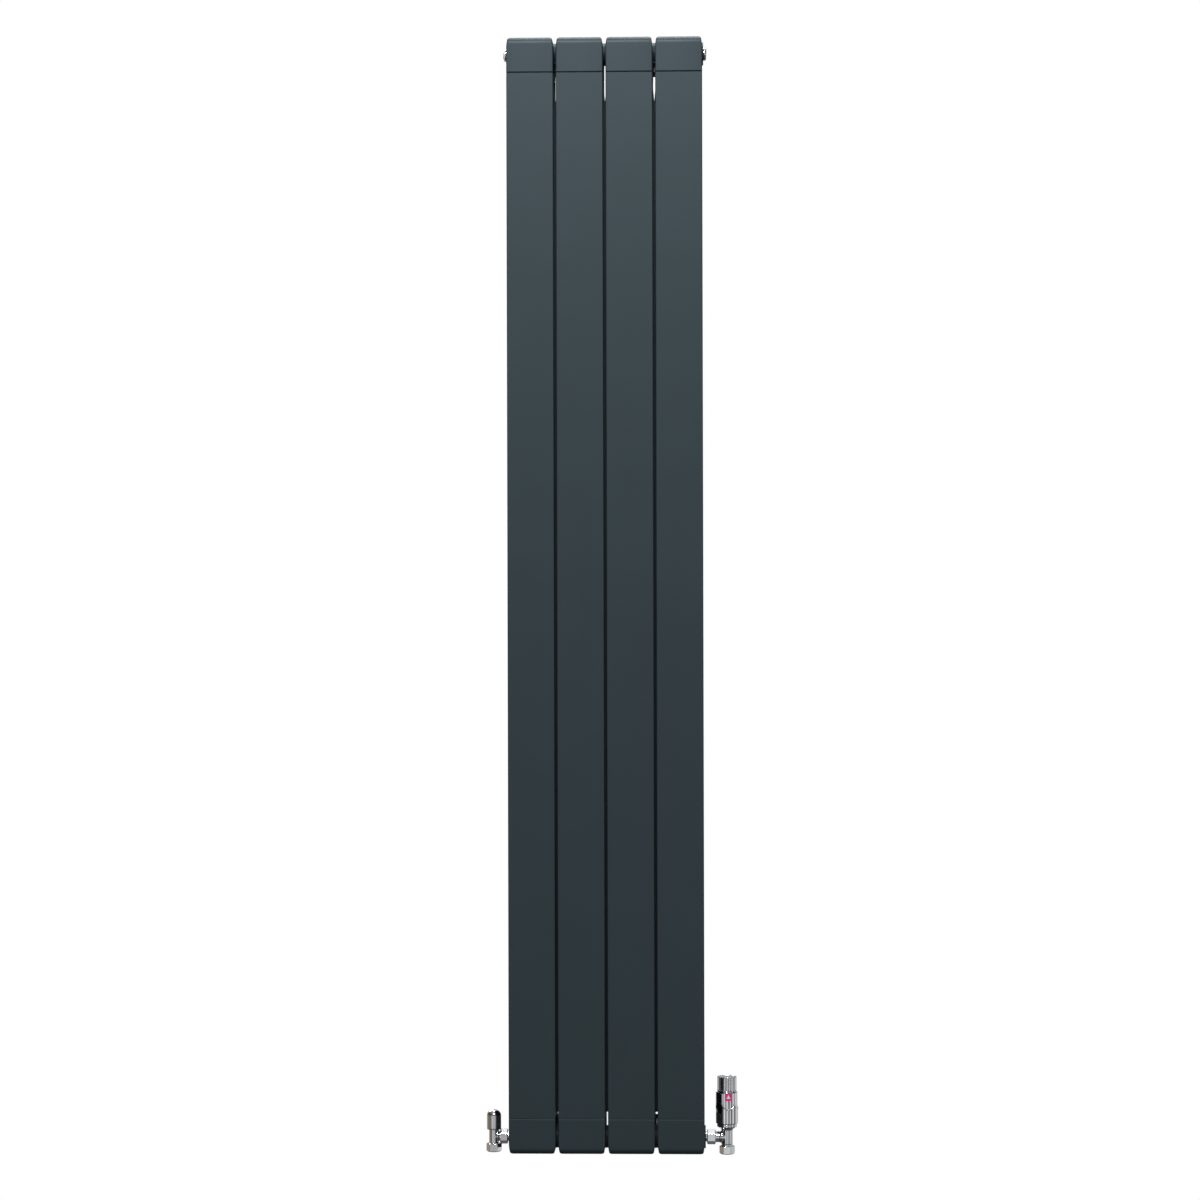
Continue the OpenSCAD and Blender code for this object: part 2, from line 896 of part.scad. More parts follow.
module trv_sleeve() {
    bearing_h = 2.4;
    thread_h = 11;
    color("#d8dadc")
        at_dial(sleeve_bottom)
            difference() {
                cylinder(r = sleeve_r, h = sleeve_h);
                for (k = [0:flute_count - 1])
                    rotate([0, 0, 360 * k / flute_count])
                        flute();
                translate([0, 0, -eps])
                    cylinder(r = base_r + slip, h = sleeve_h);
                translate([0, 0, bearing_h])
                    cylinder(r = sleeve_r - flute_depth - 1.2, h = sleeve_h - bearing_h - thread_h);
                translate([0, 0, sleeve_h - thread_h - 1])
                    cylinder(r = 14.2, h = thread_h + 2);
            }
}

module trv_cap() {
    wall = 1.6;
    color("#d8dadc")
        at_dial(sleeve_top)
            difference() {
                rotate_extrude()
                    polygon(concat([[0, 0], [cap_r, 0]], arc(cap_r - 1.2, cap_h - 1.2, 1.2, 0, 90),
                                   [[cap_r - 3, cap_h], [cap_r - 3.6, cap_h - 0.6], [0, cap_h - 0.6]]));
                translate([0, 0, -eps])
                    cylinder(r = cap_r - wall - 0.6, h = cap_h - 2.4 + eps);
                for (k = [0:groove_count - 1])
                    rotate([0, 0, 360 * (k + 0.5) / groove_count])
                        translate([cap_r + 0.25, 0, 1.6])
                            cylinder(r = 0.85, h = cap_h, $fn = 24);
            }
}

// A slab of given width and height, bent round the sleeve at its front
module on_sleeve(r_in, r_out, w, h) {
    intersection() {
        ring(r_out, r_in, h);
        translate([-w / 2, -sleeve_r - 5, 0])
            cube([w, sleeve_r + 5, h]);
    }
}

module trv_badge() {
    color("#c8245a")
        at_dial(sleeve_top - badge_h)
            difference() {
                on_sleeve(sleeve_r - flute_depth, sleeve_r, badge_w, badge_h);
                trv_badge_arrow(sleeve_r - 0.35, sleeve_r + 1);
            }
}

// Plain triangle that points up, as the badge's setting mark
module trv_badge_arrow(r_in, r_out) {
    intersection() {
        ring(r_out, r_in, badge_h);
        translate([0, 0, badge_h / 2])
            rotate([90, 0, 0])
                linear_extrude(sleeve_r + 5)
                    polygon([[-3, -3], [3, -3], [0, 3.4]]);
    }
}

module trv_badge_mark() {
    color("white")
        at_dial(sleeve_top - badge_h)
            trv_badge_arrow(sleeve_r - 0.35, sleeve_r);
}

// ---------- lockshield valve ----------

module at_lockshield(z) translate([lockshield_x, pipe_y, -pipe_z + z]) children();

module lockshield_body() {
    stub_bottom = shield_nut_bottom + 4.8;
    color("#d8dadc")
        at_lockshield(0)
            difference() {
                union() {
                    translate([0, 0, stub_bottom])
                        cylinder(r = nut_thread_r - 0.2, h = -10.9 - stub_bottom);
                    translate([0, 0, -12])
                        cylinder(r = shield_barrel_r, h = 12 + shield_ledge_top - 1);
                    translate([0, 0, shield_rim_bottom + 0.2])
                        cylinder(r = shield_r - shield_wall - 0.1, h = shield_ledge_top - shield_rim_bottom - 0.2);
                    facing_radiator(-1)
                        valve_arm(shield_barrel_r - 0.3, arm_reach(lockshield_offset), shield_union_l);
                }
                translate([0, 0, stub_bottom - eps])
                    cylinder(r = pipe_r, h = -11.5 - stub_bottom + eps);
                translate([0, 0, -12])
                    cylinder(r = 5, h = 6);
                translate([0, 0, shield_seat_z])
                    cylinder(r = 6.2, h = 5 - shield_seat_z);
                translate([0, 0, 4])
                    cylinder(r = spindle_r + slip, h = 6);
                translate([0, 0, 6.6])
                    cylinder(r = 4.6, h = 20);
                facing_radiator(-1)
                    cylinder(r = 5, h = lockshield_offset);
            }
}

module lockshield_tailpiece() color("#d8dadc") at_hub_face(-1, -pipe_z) tailpiece();

module lockshield_union_nut() {
    color("#d8dadc")
        at_hub_face(-1, -pipe_z)
            translate([0, 0, union_gap])
                rotate([0, 0, 90])
                    union_nut(shield_union_l);
}

module lockshield_compression_nut() {
    color("#d8dadc")
        at_lockshield(shield_nut_bottom)
            compression_nut(shield_nut_h);
}

module lockshield_olive() color("#c9a45a") at_lockshield(shield_nut_bottom + 2.3) olive(2.4);

// Plug that the spindle's thread raises and lowers over the seat
module lockshield_plug() {
    color("#c9a45a")
        at_lockshield(-4.5)
            difference() {
                cylinder(r = 6.1, h = 7);
                translate([0, 0, 2])
                    cylinder(r = spindle_r + slip, h = 6);
                for (s = [-1, 1])
                    translate([0, s * 6.2, 3.5])
                        cube([6, 2, 8], center = true);
            }
}

module lockshield_spindle() {
    square_w = 4.6;
    color("#c9a45a")
        at_lockshield(0)
            union() {
                cylinder(r = spindle_r, h = 7);
                translate([0, 0, 6.9])
                    cylinder(r = 3.8, h = 1.4);
                translate([0, 0, 8])
                    cylinder(r = spindle_neck_r, h = 18);
                translate([-square_w / 2, -square_w / 2, 26])
                    cube([square_w, square_w, spindle_top - 26]);
            }
}

module lockshield_gland_nut() {
    color("#c9a45a")
        at_lockshield(0)
            difference() {
                union() {
                    translate([0, 0, 8.6])
                        cylinder(r = 4.55, h = shield_ledge_top - 8.6);
                    translate([0, 0, shield_ledge_top])
                        hexagon(13, 4);
                }
                translate([0, 0, 8])
                    cylinder(r = spindle_neck_r + slip, h = 20);
                translate([0, 0, 11])
                    cylinder(r = spindle_neck_r + 1.2, h = 1.1);
            }
}

module lockshield_o_ring() {
    color("#20241f")
        at_lockshield(11.55)
            o_ring(spindle_neck_r + slip, 0.5);
}

// Half outline of a domed cap: a straight side with an elliptical dome
function dome(r, h, dome_h) =
    concat([[0, 0], [r, 0]],
           [for (k = [0:16]) let (a = 90 * k / 16) [r * cos(a), h - dome_h + dome_h * sin(a)]]);

module lockshield_cap() {
    dome_h = 10;
    grip_r = shield_r - shield_wall;
    ledge_h = shield_ledge_top - shield_rim_bottom + 0.1;
    color("#d8dadc")
        at_lockshield(shield_rim_bottom)
            difference() {
                rotate_extrude()
                    polygon(dome(shield_r, shield_h, dome_h));
                translate([0, 0, -eps])
                    cylinder(r = grip_r, h = ledge_h + eps);
                rotate_extrude()
                    polygon(dome(grip_r - 0.9, shield_h - shield_wall, dome_h));
            }
}

// ---------- wall brackets ----------

// Side view of a hook that carries the hubs, as [y, z] about the pipe axis
module hook_2d() {
    under = seat_r + hook_t;
    tip = under * sin(45);
    difference() {
        polygon([[-bracket_t / 2, arm_high], [pipe_y + seat_r - 1, arm_high], [pipe_y, -seat_r / 2],
                 [pipe_y - seat_r / 2, -seat_r / 2], [pipe_y - tip, -tip], [pipe_y - tip / 2, -under],
                 [pipe_y + tip / 3, -under], [-bracket_t / 2, bracket_low + 6]]);
        translate([pipe_y, 0])
            circle(r = seat_r);
    }
}

// Side view of a fork that keeps the lower hubs off the wall
module fork_2d() {
    half = seat_r * sin(42);
    difference() {
        polygon([[-bracket_t / 2, arm_high], [pipe_y + seat_r * cos(42), half],
                 [pipe_y + seat_r * cos(42), -half], [-bracket_t / 2, bracket_low + 6]]);
        translate([pipe_y, 0])
            circle(r = seat_r);
    }
}

// Wall plate with its screw hole; its children are the arm's side view
module bracket(x) {
    color("#3a474b")
        translate([x, 0, pipe_z])
            difference() {
                union() {
                    translate([-bracket_w / 2, -bracket_t, bracket_low])
                        cube([bracket_w, bracket_t, bracket_high - bracket_low]);
                    translate([-bracket_t / 2, 0, 0])
                        rotate([90, 0, 90])
                            linear_extrude(bracket_t)
                                children();
                }
                translate([0, eps, bracket_hole_z])
                    rotate([90, 0, 0])
                        cylinder(r = bracket_hole_r, h = bracket_t + 2 * eps);
            }
}

module top_bracket(x) bracket(x) hook_2d();

module bottom_bracket(x) mirror([0, 0, 1]) bracket(x) fork_2d();

// Sector of the pipe axis's plane, as [y, z], from angle a0 to a1
module sector_2d(r, a0, a1) {
    mid = (a0 + a1) / 2;
    polygon([[0, 0], [r * cos(a0), r * sin(a0)], [r * cos(mid) * 1.3, r * sin(mid) * 1.3],
             [r * cos(a1), r * sin(a1)]]);
}

// Plastic saddle between the hubs and a bracket's arm
module pad(x, z, a0, a1) {
    translate([x - bracket_t / 2, pipe_y, z])
        rotate([90, 0, 90])
            linear_extrude(bracket_t)
                intersection() {
                    difference() {
                        circle(r = seat_r - 0.05);
                        circle(r = hub_r + slip);
                    }
                    sector_2d(2 * seat_r, a0, a1);
                }
}

module bracket_pads() {
    color("#20241f")
        for (x = [-bracket_x, bracket_x]) {
            pad(x, pipe_z, 225, 325);
            pad(x, -pipe_z, -38, 38);
        }
}

// ---------- one line for each node ----------

for (i = [1:section_count]) {
    section(i);
    top_head(i);
    bottom_head(i);
}
nipples(pipe_z);  // top_nipples
nipples(-pipe_z);  // bottom_nipples
hub_gaskets();
head_seals();
bush(-1, pipe_z);  // bush_top_left
bush(1, pipe_z);  // bush_top_right
bush(-1, -pipe_z);  // bush_bottom_left
bush(1, -pipe_z);  // bush_bottom_right
bush_seals();
vent_body();
vent_screw();
vent_spout();
blanking_plug();
plug_seals();
trv_body();
trv_tailpiece();
trv_union_nut();
trv_compression_nut();
trv_olive();
trv_insert();
trv_gland_nut();
trv_stem_o_ring();
trv_insert_spring();
trv_stem();
trv_seat_washer();
trv_ring_nut();
trv_head_base();
trv_sensor();
trv_overrun_spring();
trv_sleeve();
trv_cap();
trv_badge();
trv_badge_mark();
lockshield_body();
lockshield_tailpiece();
lockshield_union_nut();
lockshield_compression_nut();
lockshield_olive();
lockshield_plug();
lockshield_spindle();
lockshield_gland_nut();
lockshield_o_ring();
lockshield_cap();
top_bracket(-bracket_x);  // bracket_top_left
top_bracket(bracket_x);  // bracket_top_right
bottom_bracket(-bracket_x);  // bracket_bottom_left
bottom_bracket(bracket_x);  // bracket_bottom_right
bracket_pads();
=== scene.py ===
"""The radiator's looks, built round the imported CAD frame. Helpers work in millimetres."""

import json
import math

import bmesh
import bpy
import numpy as np
from mathutils import Matrix, Quaternion, Vector


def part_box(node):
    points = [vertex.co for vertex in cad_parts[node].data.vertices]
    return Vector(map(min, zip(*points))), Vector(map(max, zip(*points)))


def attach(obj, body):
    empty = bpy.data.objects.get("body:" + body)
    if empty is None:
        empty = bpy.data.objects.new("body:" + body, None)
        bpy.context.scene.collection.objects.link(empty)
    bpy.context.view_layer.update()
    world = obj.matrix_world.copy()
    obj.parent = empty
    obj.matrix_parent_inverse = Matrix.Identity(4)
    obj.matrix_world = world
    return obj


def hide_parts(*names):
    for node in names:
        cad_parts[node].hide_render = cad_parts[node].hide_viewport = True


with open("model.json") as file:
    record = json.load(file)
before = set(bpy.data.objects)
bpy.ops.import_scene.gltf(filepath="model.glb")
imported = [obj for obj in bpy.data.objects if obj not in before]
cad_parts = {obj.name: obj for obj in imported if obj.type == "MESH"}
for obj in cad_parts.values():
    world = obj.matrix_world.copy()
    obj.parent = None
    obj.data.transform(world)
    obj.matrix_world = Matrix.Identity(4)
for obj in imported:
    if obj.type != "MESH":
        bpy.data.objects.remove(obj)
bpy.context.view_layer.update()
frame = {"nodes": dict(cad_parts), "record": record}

RECORD = frame["record"]
SLOT_OF = {part["node"]: part["material_slot"] for part in RECORD["subparts"]}
BODY_OF = {node: body for body, nodes in RECORD["behaviour"]["bodies"].items() for node in nodes}


# ---------- sizes, in millimetres ----------

MM = 0.001  # in metres

def span(node):
    """Lowest and highest corner of a CAD node."""
    low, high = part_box(node)
    return Vector(low) / MM, Vector(high) / MM


def middle(node):
    low, high = span(node)
    return (low + high) / 2


SECTIONS = sum(name.startswith("section_") for name in frame["nodes"])
PITCH = (middle("top_head_2") - middle("top_head_1")).x
FRONT = span("top_head_1")[0].y
BACK = span("top_head_1")[1].y
TOP = span("top_head_1")[1].z
SEAM = span("section_1")[1].z
PIPE_Y = middle("bush_top_left").y
PIPE_Z = middle("bush_top_left").z
HUB_L = span("top_head_1")[1].x - span("top_head_1")[0].x
HUB_FACE = span("top_head_%d" % SECTIONS)[1].x

PANEL_GAP = 4.5
PANEL_W = PITCH - PANEL_GAP
SEAM_GAP = 0.4
HEAD_WALL = 2.6
HUB_R = 18.5
HUB_THREAD_R = 16.2
HUB_THREAD_L = 18
HUB_WATER_R = 14
TUBE = (24, 34)
TUBE_WALL = 2


# ---------- mesh helpers ----------


def fillet(points, radius, steps=5, closed=True):
    """Rounds an outline's corners. A point may carry its own radius as a third number."""
    out = []
    count = len(points)
    for k, point in enumerate(points):
        p = Vector(point[:2])
        r = point[2] if len(point) > 2 else radius
        if r <= 0 or (not closed and k in (0, count - 1)):
            out.append(tuple(p))
            continue
        a = Vector(points[k - 1][:2]) - p
        b = Vector(points[(k + 1) % count][:2]) - p
        half = a.angle(b) / 2
        if half > math.radians(89) or half < math.radians(2):
            out.append(tuple(p))
            continue
        reach = min(r / math.tan(half), 0.48 * a.length, 0.48 * b.length)
        start = p + a.normalized() * reach
        end = p + b.normalized() * reach
        centre = p + (a.normalized() + b.normalized()).normalized() * reach / math.cos(half)
        u, v = start - centre, end - centre
        turn = math.atan2(u.x * v.y - u.y * v.x, u.dot(v))
        for s in range(steps + 1):
            c, d = math.cos(turn * s / steps), math.sin(turn * s / steps)
            out.append((centre.x + u.x * c - u.y * d, centre.y + u.x * d + u.y * c))
    return out


def make_object(name, vertices, faces, matrix=None, sharp=38):
    """An object from points in millimetres, with faces turned outwards and smooth shading."""
    mesh = bpy.data.meshes.new(name)
    points = np.asarray(vertices, dtype=float) * MM
    mesh.from_pydata(points.tolist(), [], faces)
    if matrix is not None:
        moved = matrix.copy()
        moved.translation = matrix.translation * MM
        mesh.transform(moved)
    tidy_mesh(mesh, sharp)
    obj = bpy.data.objects.new(name, mesh)
    bpy.context.scene.collection.objects.link(obj)
    return obj


def tidy_mesh(mesh, sharp=38):
    bm = bmesh.new()
    bm.from_mesh(mesh)
    bmesh.ops.remove_doubles(bm, verts=bm.verts, dist=2e-6)
    bmesh.ops.recalc_face_normals(bm, faces=bm.faces)
    bm.to_mesh(mesh)
    bm.free()
    mesh.shade_smooth()
    mesh.set_sharp_from_angle(angle=math.radians(sharp))


def axis_matrix(axis, at):
    """Takes +Z to the named axis, and the origin to at."""
    turn = Vector((0, 0, 1)).rotation_difference(Vector(axis)).to_matrix().to_4x4()
    turn.translation = Vector(at)
    return turn


def revolve(name, profile, at, axis=(0, 0, 1), segments=96, warp=None, turn=0.0):
    """Turns an outline of (radius, height) points round an axis. warp changes radius and height."""
    rows, vertices = [], []
    for r, h in profile:
        row = []
        for k in range(1 if r < 1e-6 else segments):
            angle = math.tau * k / segments
            rr, hh = warp(angle, r, h) if warp and r > 1e-6 else (r, h)
            row.append(len(vertices))
            vertices.append((rr * math.cos(angle + turn), rr * math.sin(angle + turn), hh))
        rows.append(row)
    faces = []
    ends = len(rows) if min(len(rows[0]), len(rows[-1])) > 1 else len(rows) - 1
    for k in range(ends):
        a, b = rows[k], rows[(k + 1) % len(rows)]
        for s in range(segments):
            n = (s + 1) % segments
            quad = [a[s % len(a)], a[n % len(a)], b[n % len(b)], b[s % len(b)]]
            face = [v for i, v in enumerate(quad) if v != quad[i - 1]]
            if len(face) > 2:
                faces.append(face)
    return make_object(name, vertices, faces, axis_matrix(axis, at))


def prism(name, outline, low, high, matrix=None, edge=0.0):
    """Raises a flat outline from low to high, with a small rounded edge at both ends."""
    count = len(outline)
    steps = 3 if edge else 0
    rings = []
    for s in range(steps + 1):
        t = math.pi / 2 * s / max(steps, 1)
        rings.append((low + edge * (1 - math.sin(t)), edge * (1 - math.cos(t))))
    rings = [(z, inset) for z, inset in reversed(rings)]
    rings += [(high - (z - low), inset) for z, inset in reversed(rings)]
    vertices, faces = [], []
    for z, inset in rings:
        for x, y in shrink(outline, inset):
            vertices.append((x, y, z))
    for r in range(len(rings) - 1):
        for k in range(count):
            n = (k + 1) % count
            faces.append([r * count + k, r * count + n, (r + 1) * count + n, (r + 1) * count + k])
    faces.append(list(range(count))[::-1])
    faces.append([(len(rings) - 1) * count + k for k in range(count)])
    return make_object(name, vertices, faces, matrix)


def shrink(outline, inset):
    """Moves an anticlockwise outline's points inwards."""
    if inset <= 0:
        return outline
    out = []
    for k, p in enumerate(outline):
        a = Vector(p) - Vector(outline[k - 1])
        b = Vector(outline[(k + 1) % len(outline)]) - Vector(p)
        normal = Vector((-a.y, a.x)).normalized() + Vector((-b.y, b.x)).normalized()
        out.append(tuple(Vector(p) + normal.normalized() * inset))
    return out


def baked(obj):
    """Applies an object's modifiers."""
    graph = bpy.context.evaluated_depsgraph_get()
    mesh = bpy.data.meshes.new_from_object(obj.evaluated_get(graph))
    old = obj.data
    obj.modifiers.clear()
    obj.data = mesh
    bpy.data.meshes.remove(old)
    return obj


def combine(obj, tools, operation, sharp=38):
    """Adds tools to an object, or cuts them from it, and removes the tools."""
    for tool in tools:
        modifier = obj.modifiers.new("combine", "BOOLEAN")
        modifier.object = tool
        modifier.operation = operation
        modifier.solver = "EXACT"
    baked(obj)
    for tool in tools:
        bpy.data.objects.remove(tool)
    tidy_mesh(obj.data, sharp)
    return obj


def cast_together(name, parts, voxel, rounds):
    """Melts overlapping solids into one casting with soft inner corners."""
    bm = bmesh.new()
    for part in parts:
        bm.from_mesh(part.data)
        bpy.data.objects.remove(part)
    mesh = bpy.data.meshes.new(name)
    bm.to_mesh(mesh)
    bm.free()
    obj = bpy.data.objects.new(name, mesh)
    bpy.context.scene.collection.objects.link(obj)
    remesh = obj.modifiers.new("remesh", "REMESH")
    remesh.mode = "VOXEL"
    remesh.voxel_size = voxel * MM
    smooth = obj.modifiers.new("smooth", "SMOOTH")
    smooth.factor = 0.5
    smooth.iterations = rounds
    baked(obj)
    tidy_mesh(obj.data, 50)
    return obj


def box_solid(name, low, high):
    x0, y0, z0 = low
    x1, y1, z1 = high
    outline = [(x0, y0), (x1, y0), (x1, y1), (x0, y1)]
    return prism(name, outline, z0, z1)


def copy_of(obj, name, shift=(0, 0, 0), flip=False):
    """A copy moved by shift, or first mirrored top to bottom."""
    mesh = obj.data.copy()
    if flip:
        mesh.transform(Matrix.Diagonal((1, 1, -1, 1)))
        mesh.flip_normals()
    mesh.transform(Matrix.Translation(Vector(shift) * MM))
    copy = bpy.data.objects.new(name, mesh)
    bpy.context.scene.collection.objects.link(copy)
    return copy


def hex_bar(af):
    """A warp that limits a turned shape to a hexagon with slightly blunt corners."""

    def limit(angle, r, h):
        off = (angle + math.pi / 6) % (math.pi / 3) - math.pi / 6
        return min(r, af / 2 / math.cos(off), af / 2 * 1.135), h

    return limit


# ---------- materials ----------


class Nodes:
    """Short calls for building a material's node tree."""

    def __init__(self, name):
        self.material = bpy.data.materials.new(name)
        self.material.use_nodes = True
        self.tree = self.material.node_tree
        self.shader = self.tree.nodes["Principled BSDF"]
        place = self.tree.nodes.new("ShaderNodeTexCoord")
        self.place = place.outputs["Object"]

    def link(self, source, target):
        self.tree.links.new(source, target)

    def set(self, **values):
        for key, value in values.items():
            socket = self.shader.inputs[key.replace("_", " ")]
            socket.default_value = (*value, 1) if isinstance(value, tuple) else value

    def stretched(self, scale):
        mapping = self.tree.nodes.new("ShaderNodeMapping")
        mapping.inputs["Scale"].default_value = scale
        self.link(self.place, mapping.inputs["Vector"])
        return mapping.outputs["Vector"]

    def noise(self, scale, detail=3.0, rough=0.5, vector=None):
        node = self.tree.nodes.new("ShaderNodeTexNoise")
        node.inputs["Scale"].default_value = scale
        node.inputs["Detail"].default_value = detail
        node.inputs["Roughness"].default_value = rough
        self.link(vector or self.place, node.inputs["Vector"])
        return node.outputs["Fac"]

    def cells(self, scale):
        node = self.tree.nodes.new("ShaderNodeTexVoronoi")
        node.inputs["Scale"].default_value = scale
        self.link(self.place, node.inputs["Vector"])
        return node.outputs["Color"]

    def spread(self, source, low, high, start=0.3, end=0.7):
        """Maps start..end of a value to low..high."""
        node = self.tree.nodes.new("ShaderNodeMapRange")
        node.inputs["From Min"].default_value = start
        node.inputs["From Max"].default_value = end
        node.inputs["To Min"].default_value = low
        node.inputs["To Max"].default_value = high
        self.link(source, node.inputs["Value"])
        return node.outputs["Result"]

    def tint(self, factor, first, second):
        node = self.tree.nodes.new("ShaderNodeMix")
        node.data_type = "RGBA"
        self.link(factor, node.inputs["Factor"])
        node.inputs["A"].default_value = (*first, 1)
        node.inputs["B"].default_value = (*second, 1)
        return node.outputs["Result"]

    def bump(self, *layers):
        """Stacks bumps, each a (height, strength, distance in millimetres)."""
        below = None
        for height, strength, distance in layers:
            node = self.tree.nodes.new("ShaderNodeBump")
            node.inputs["Strength"].default_value = strength
            node.inputs["Distance"].default_value = distance * MM
            self.link(height, node.inputs["Height"])
            if below:
                self.link(below, node.inputs["Normal"])
            below = node.outputs["Normal"]
        self.link(below, self.shader.inputs["Normal"])

    def colour(self, source):
        self.link(source, self.shader.inputs["Base Color"])

    def roughness(self, source):
        self.link(source, self.shader.inputs["Roughness"])


def powder_coat(name, dark, light, rough=0.48):
    """Satin anthracite powder coat: fine orange peel, tiny specks and slow cloudiness."""
    m = Nodes(name)
    peel = m.noise(650, 2, 0.45)
    specks = m.noise(5200, 1, 0.5)
    clouds = m.noise(9, 3, 0.55)
    base = m.tint(m.spread(clouds, 0, 1), dark, light)
    fleck = m.tree.nodes.new("ShaderNodeMix")
    fleck.data_type = "RGBA"
    fleck.blend_type = "MULTIPLY"
    fleck.inputs["Factor"].default_value = 1
    m.link(base, fleck.inputs["A"])
    shade = m.tint(m.spread(specks, 0, 1, 0.35, 0.65), (0.86, 0.86, 0.86), (1.1, 1.1, 1.12))
    m.link(shade, fleck.inputs["B"])
    m.colour(fleck.outputs["Result"])
    m.roughness(m.spread(peel, rough - 0.04, rough + 0.06))
    m.bump((peel, 0.35, 0.06), (specks, 0.25, 0.012))
    m.set(Coat_Weight=0.03, Coat_Roughness=0.3, IOR=1.38)
    return m.material


def chrome(name, tone=(0.80, 0.81, 0.82)):
    """Bright chrome plate with a faint haze, wipe marks and pinprick roughness."""
    m = Nodes(name)
    haze = m.noise(90, 4, 0.6)
    wipes = m.noise(1, 3, 0.6, m.stretched((2600, 2600, 160)))
    fine = m.noise(2600, 2, 0.5)
    m.colour(m.tint(m.spread(haze, 0, 1), tone, tuple(c * 0.93 for c in tone)))
    m.roughness(m.spread(haze, 0.05, 0.1))
    m.bump((wipes, 0.12, 0.004), (fine, 0.1, 0.004))
    m.set(Metallic=1.0)
    return m.material


def turned_brass(name):
    """Machined brass: cutter rings across the axis and a patchy dull skin."""
    m = Nodes(name)
    rings = m.noise(1, 3, 0.6, m.stretched((60, 60, 5200)))
    patches = m.noise(240, 4, 0.6)
    m.colour(m.tint(m.spread(patches, 0, 1), (0.72, 0.50, 0.21), (0.55, 0.36, 0.15)))
    m.roughness(m.spread(patches, 0.24, 0.42))
    m.bump((rings, 0.3, 0.02))
    m.set(Metallic=1.0)
    return m.material


def zinc_plate(name, tone):
    """Plated steel with a faint spangle."""
    m = Nodes(name)
    spangle = m.cells(420)
    grain = m.noise(1500, 3, 0.6)
    m.colour(m.tint(m.spread(spangle, 0, 1, 0, 1), tone, tuple(c * 0.78 for c in tone)))
    m.roughness(m.spread(grain, 0.32, 0.5))
    m.bump((grain, 0.25, 0.015))
    m.set(Metallic=1.0)
    return m.material


def rubber(name):
    m = Nodes(name)
    grain = m.noise(1800, 4, 0.6)
    m.colour(m.tint(m.spread(grain, 0, 1), (0.012, 0.012, 0.012), (0.03, 0.03, 0.029)))
    m.roughness(m.spread(grain, 0.6, 0.8))
    m.bump((grain, 0.4, 0.03))
    m.set(IOR=1.52)
    return m.material


def moulded_plastic(name, tone, shade, rough, grain_scale=1400):
    """Moulded plastic with a fine sparked grain and slight flow marks."""
    m = Nodes(name)
    flow = m.noise(60, 3, 0.5)
    grain = m.noise(grain_scale, 3, 0.55)
    m.colour(m.tint(m.spread(flow, 0, 1), tone, shade))
    m.roughness(m.spread(grain, rough - 0.05, rough + 0.08))
    m.bump((grain, 0.25, 0.015))
    m.set(IOR=1.49)
    return m.material


MATERIALS = {
    "anthracite_coat": powder_coat("anthracite_coat", (0.024, 0.036, 0.040), (0.026, 0.039, 0.044)),
    "bracket_coat": powder_coat("bracket_coat", (0.022, 0.033, 0.037), (0.027, 0.039, 0.043), 0.48),
    "chrome": chrome("chrome"),
    "chromed_plastic": chrome("chromed_plastic", (0.78, 0.79, 0.80)),
    "brass": turned_brass("brass"),
    "zinc_steel": zinc_plate("zinc_steel", (0.56, 0.57, 0.57)),
    "spring_steel": zinc_plate("spring_steel", (0.42, 0.42, 0.43)),
    "sensor_metal": zinc_plate("sensor_metal", (0.68, 0.69, 0.70)),
    "seal_rubber": rubber("seal_rubber"),
    "white_plastic": moulded_plastic("white_plastic", (0.80, 0.80, 0.77), (0.74, 0.74, 0.71), 0.35),
    "badge_red": moulded_plastic("badge_red", (0.80, 0.060, 0.22), (0.70, 0.045, 0.18), 0.22, 2200),
    "badge_white": moulded_plastic("badge_white", (0.86, 0.85, 0.86), (0.78, 0.77, 0.78), 0.25, 2200),
    "black_plastic": moulded_plastic("black_plastic", (0.018, 0.018, 0.019), (0.03, 0.03, 0.031), 0.5),
}


def dress(obj, slot):
    obj.data.materials.clear()
    obj.data.materials.append(MATERIALS[slot])


def stand_for(obj, node):
    """Puts a detailed piece in a CAD node's place, on its body and in its material."""
    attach(obj, BODY_OF[node])
    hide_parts(node)
    dress(obj, SLOT_OF[node])
    return obj


# ---------- radiator heads ----------

# Roundings of a head's end, and the lip that keeps light out of the seam below its face
FACE_ROUND = 10
BACK_ROUND = 16
CORNER_ROUND = 5
TAPER_IN = 1.4
TAPER_H = 14
SEAM_CHAMFER = 1.8
LIP_IN = 3.2
LIP_T = 1.4
LIP_DOWN = 2.5


def drop(depth, r):
    """How far a rounding of radius r has pulled in, at a depth below its top."""
    if depth >= r:
        return 0.0
    return r - math.sqrt(max(r * r - (r - depth) ** 2, 0.0))


def head_ring(z, inset):
    """One level of a head: a rectangle with rounded corners that follows the end's roundings."""
    depth = TOP - inset - z
    u = min(max((z + inset - (TOP - CORNER_ROUND - TAPER_H)) / TAPER_H, 0), 1)
    half = PANEL_W / 2 - inset - TAPER_IN * u * u - drop(depth, CORNER_ROUND - inset / 2)
    foot = max(SEAM_CHAMFER - (z - SEAM - SEAM_GAP), 0) if inset == 0 else 0
    front = FRONT + inset + drop(depth, FACE_ROUND - inset) + foot
    back = BACK - inset - drop(depth, BACK_ROUND - inset)
    r = 2.0 if inset == 0 else 1.0
    corners = [(-half, front, r), (half, front, r), (half, back, r + 1), (-half, back, r + 1)]
    return [(x, y, z) for x, y in fillet(corners, r, 6)]


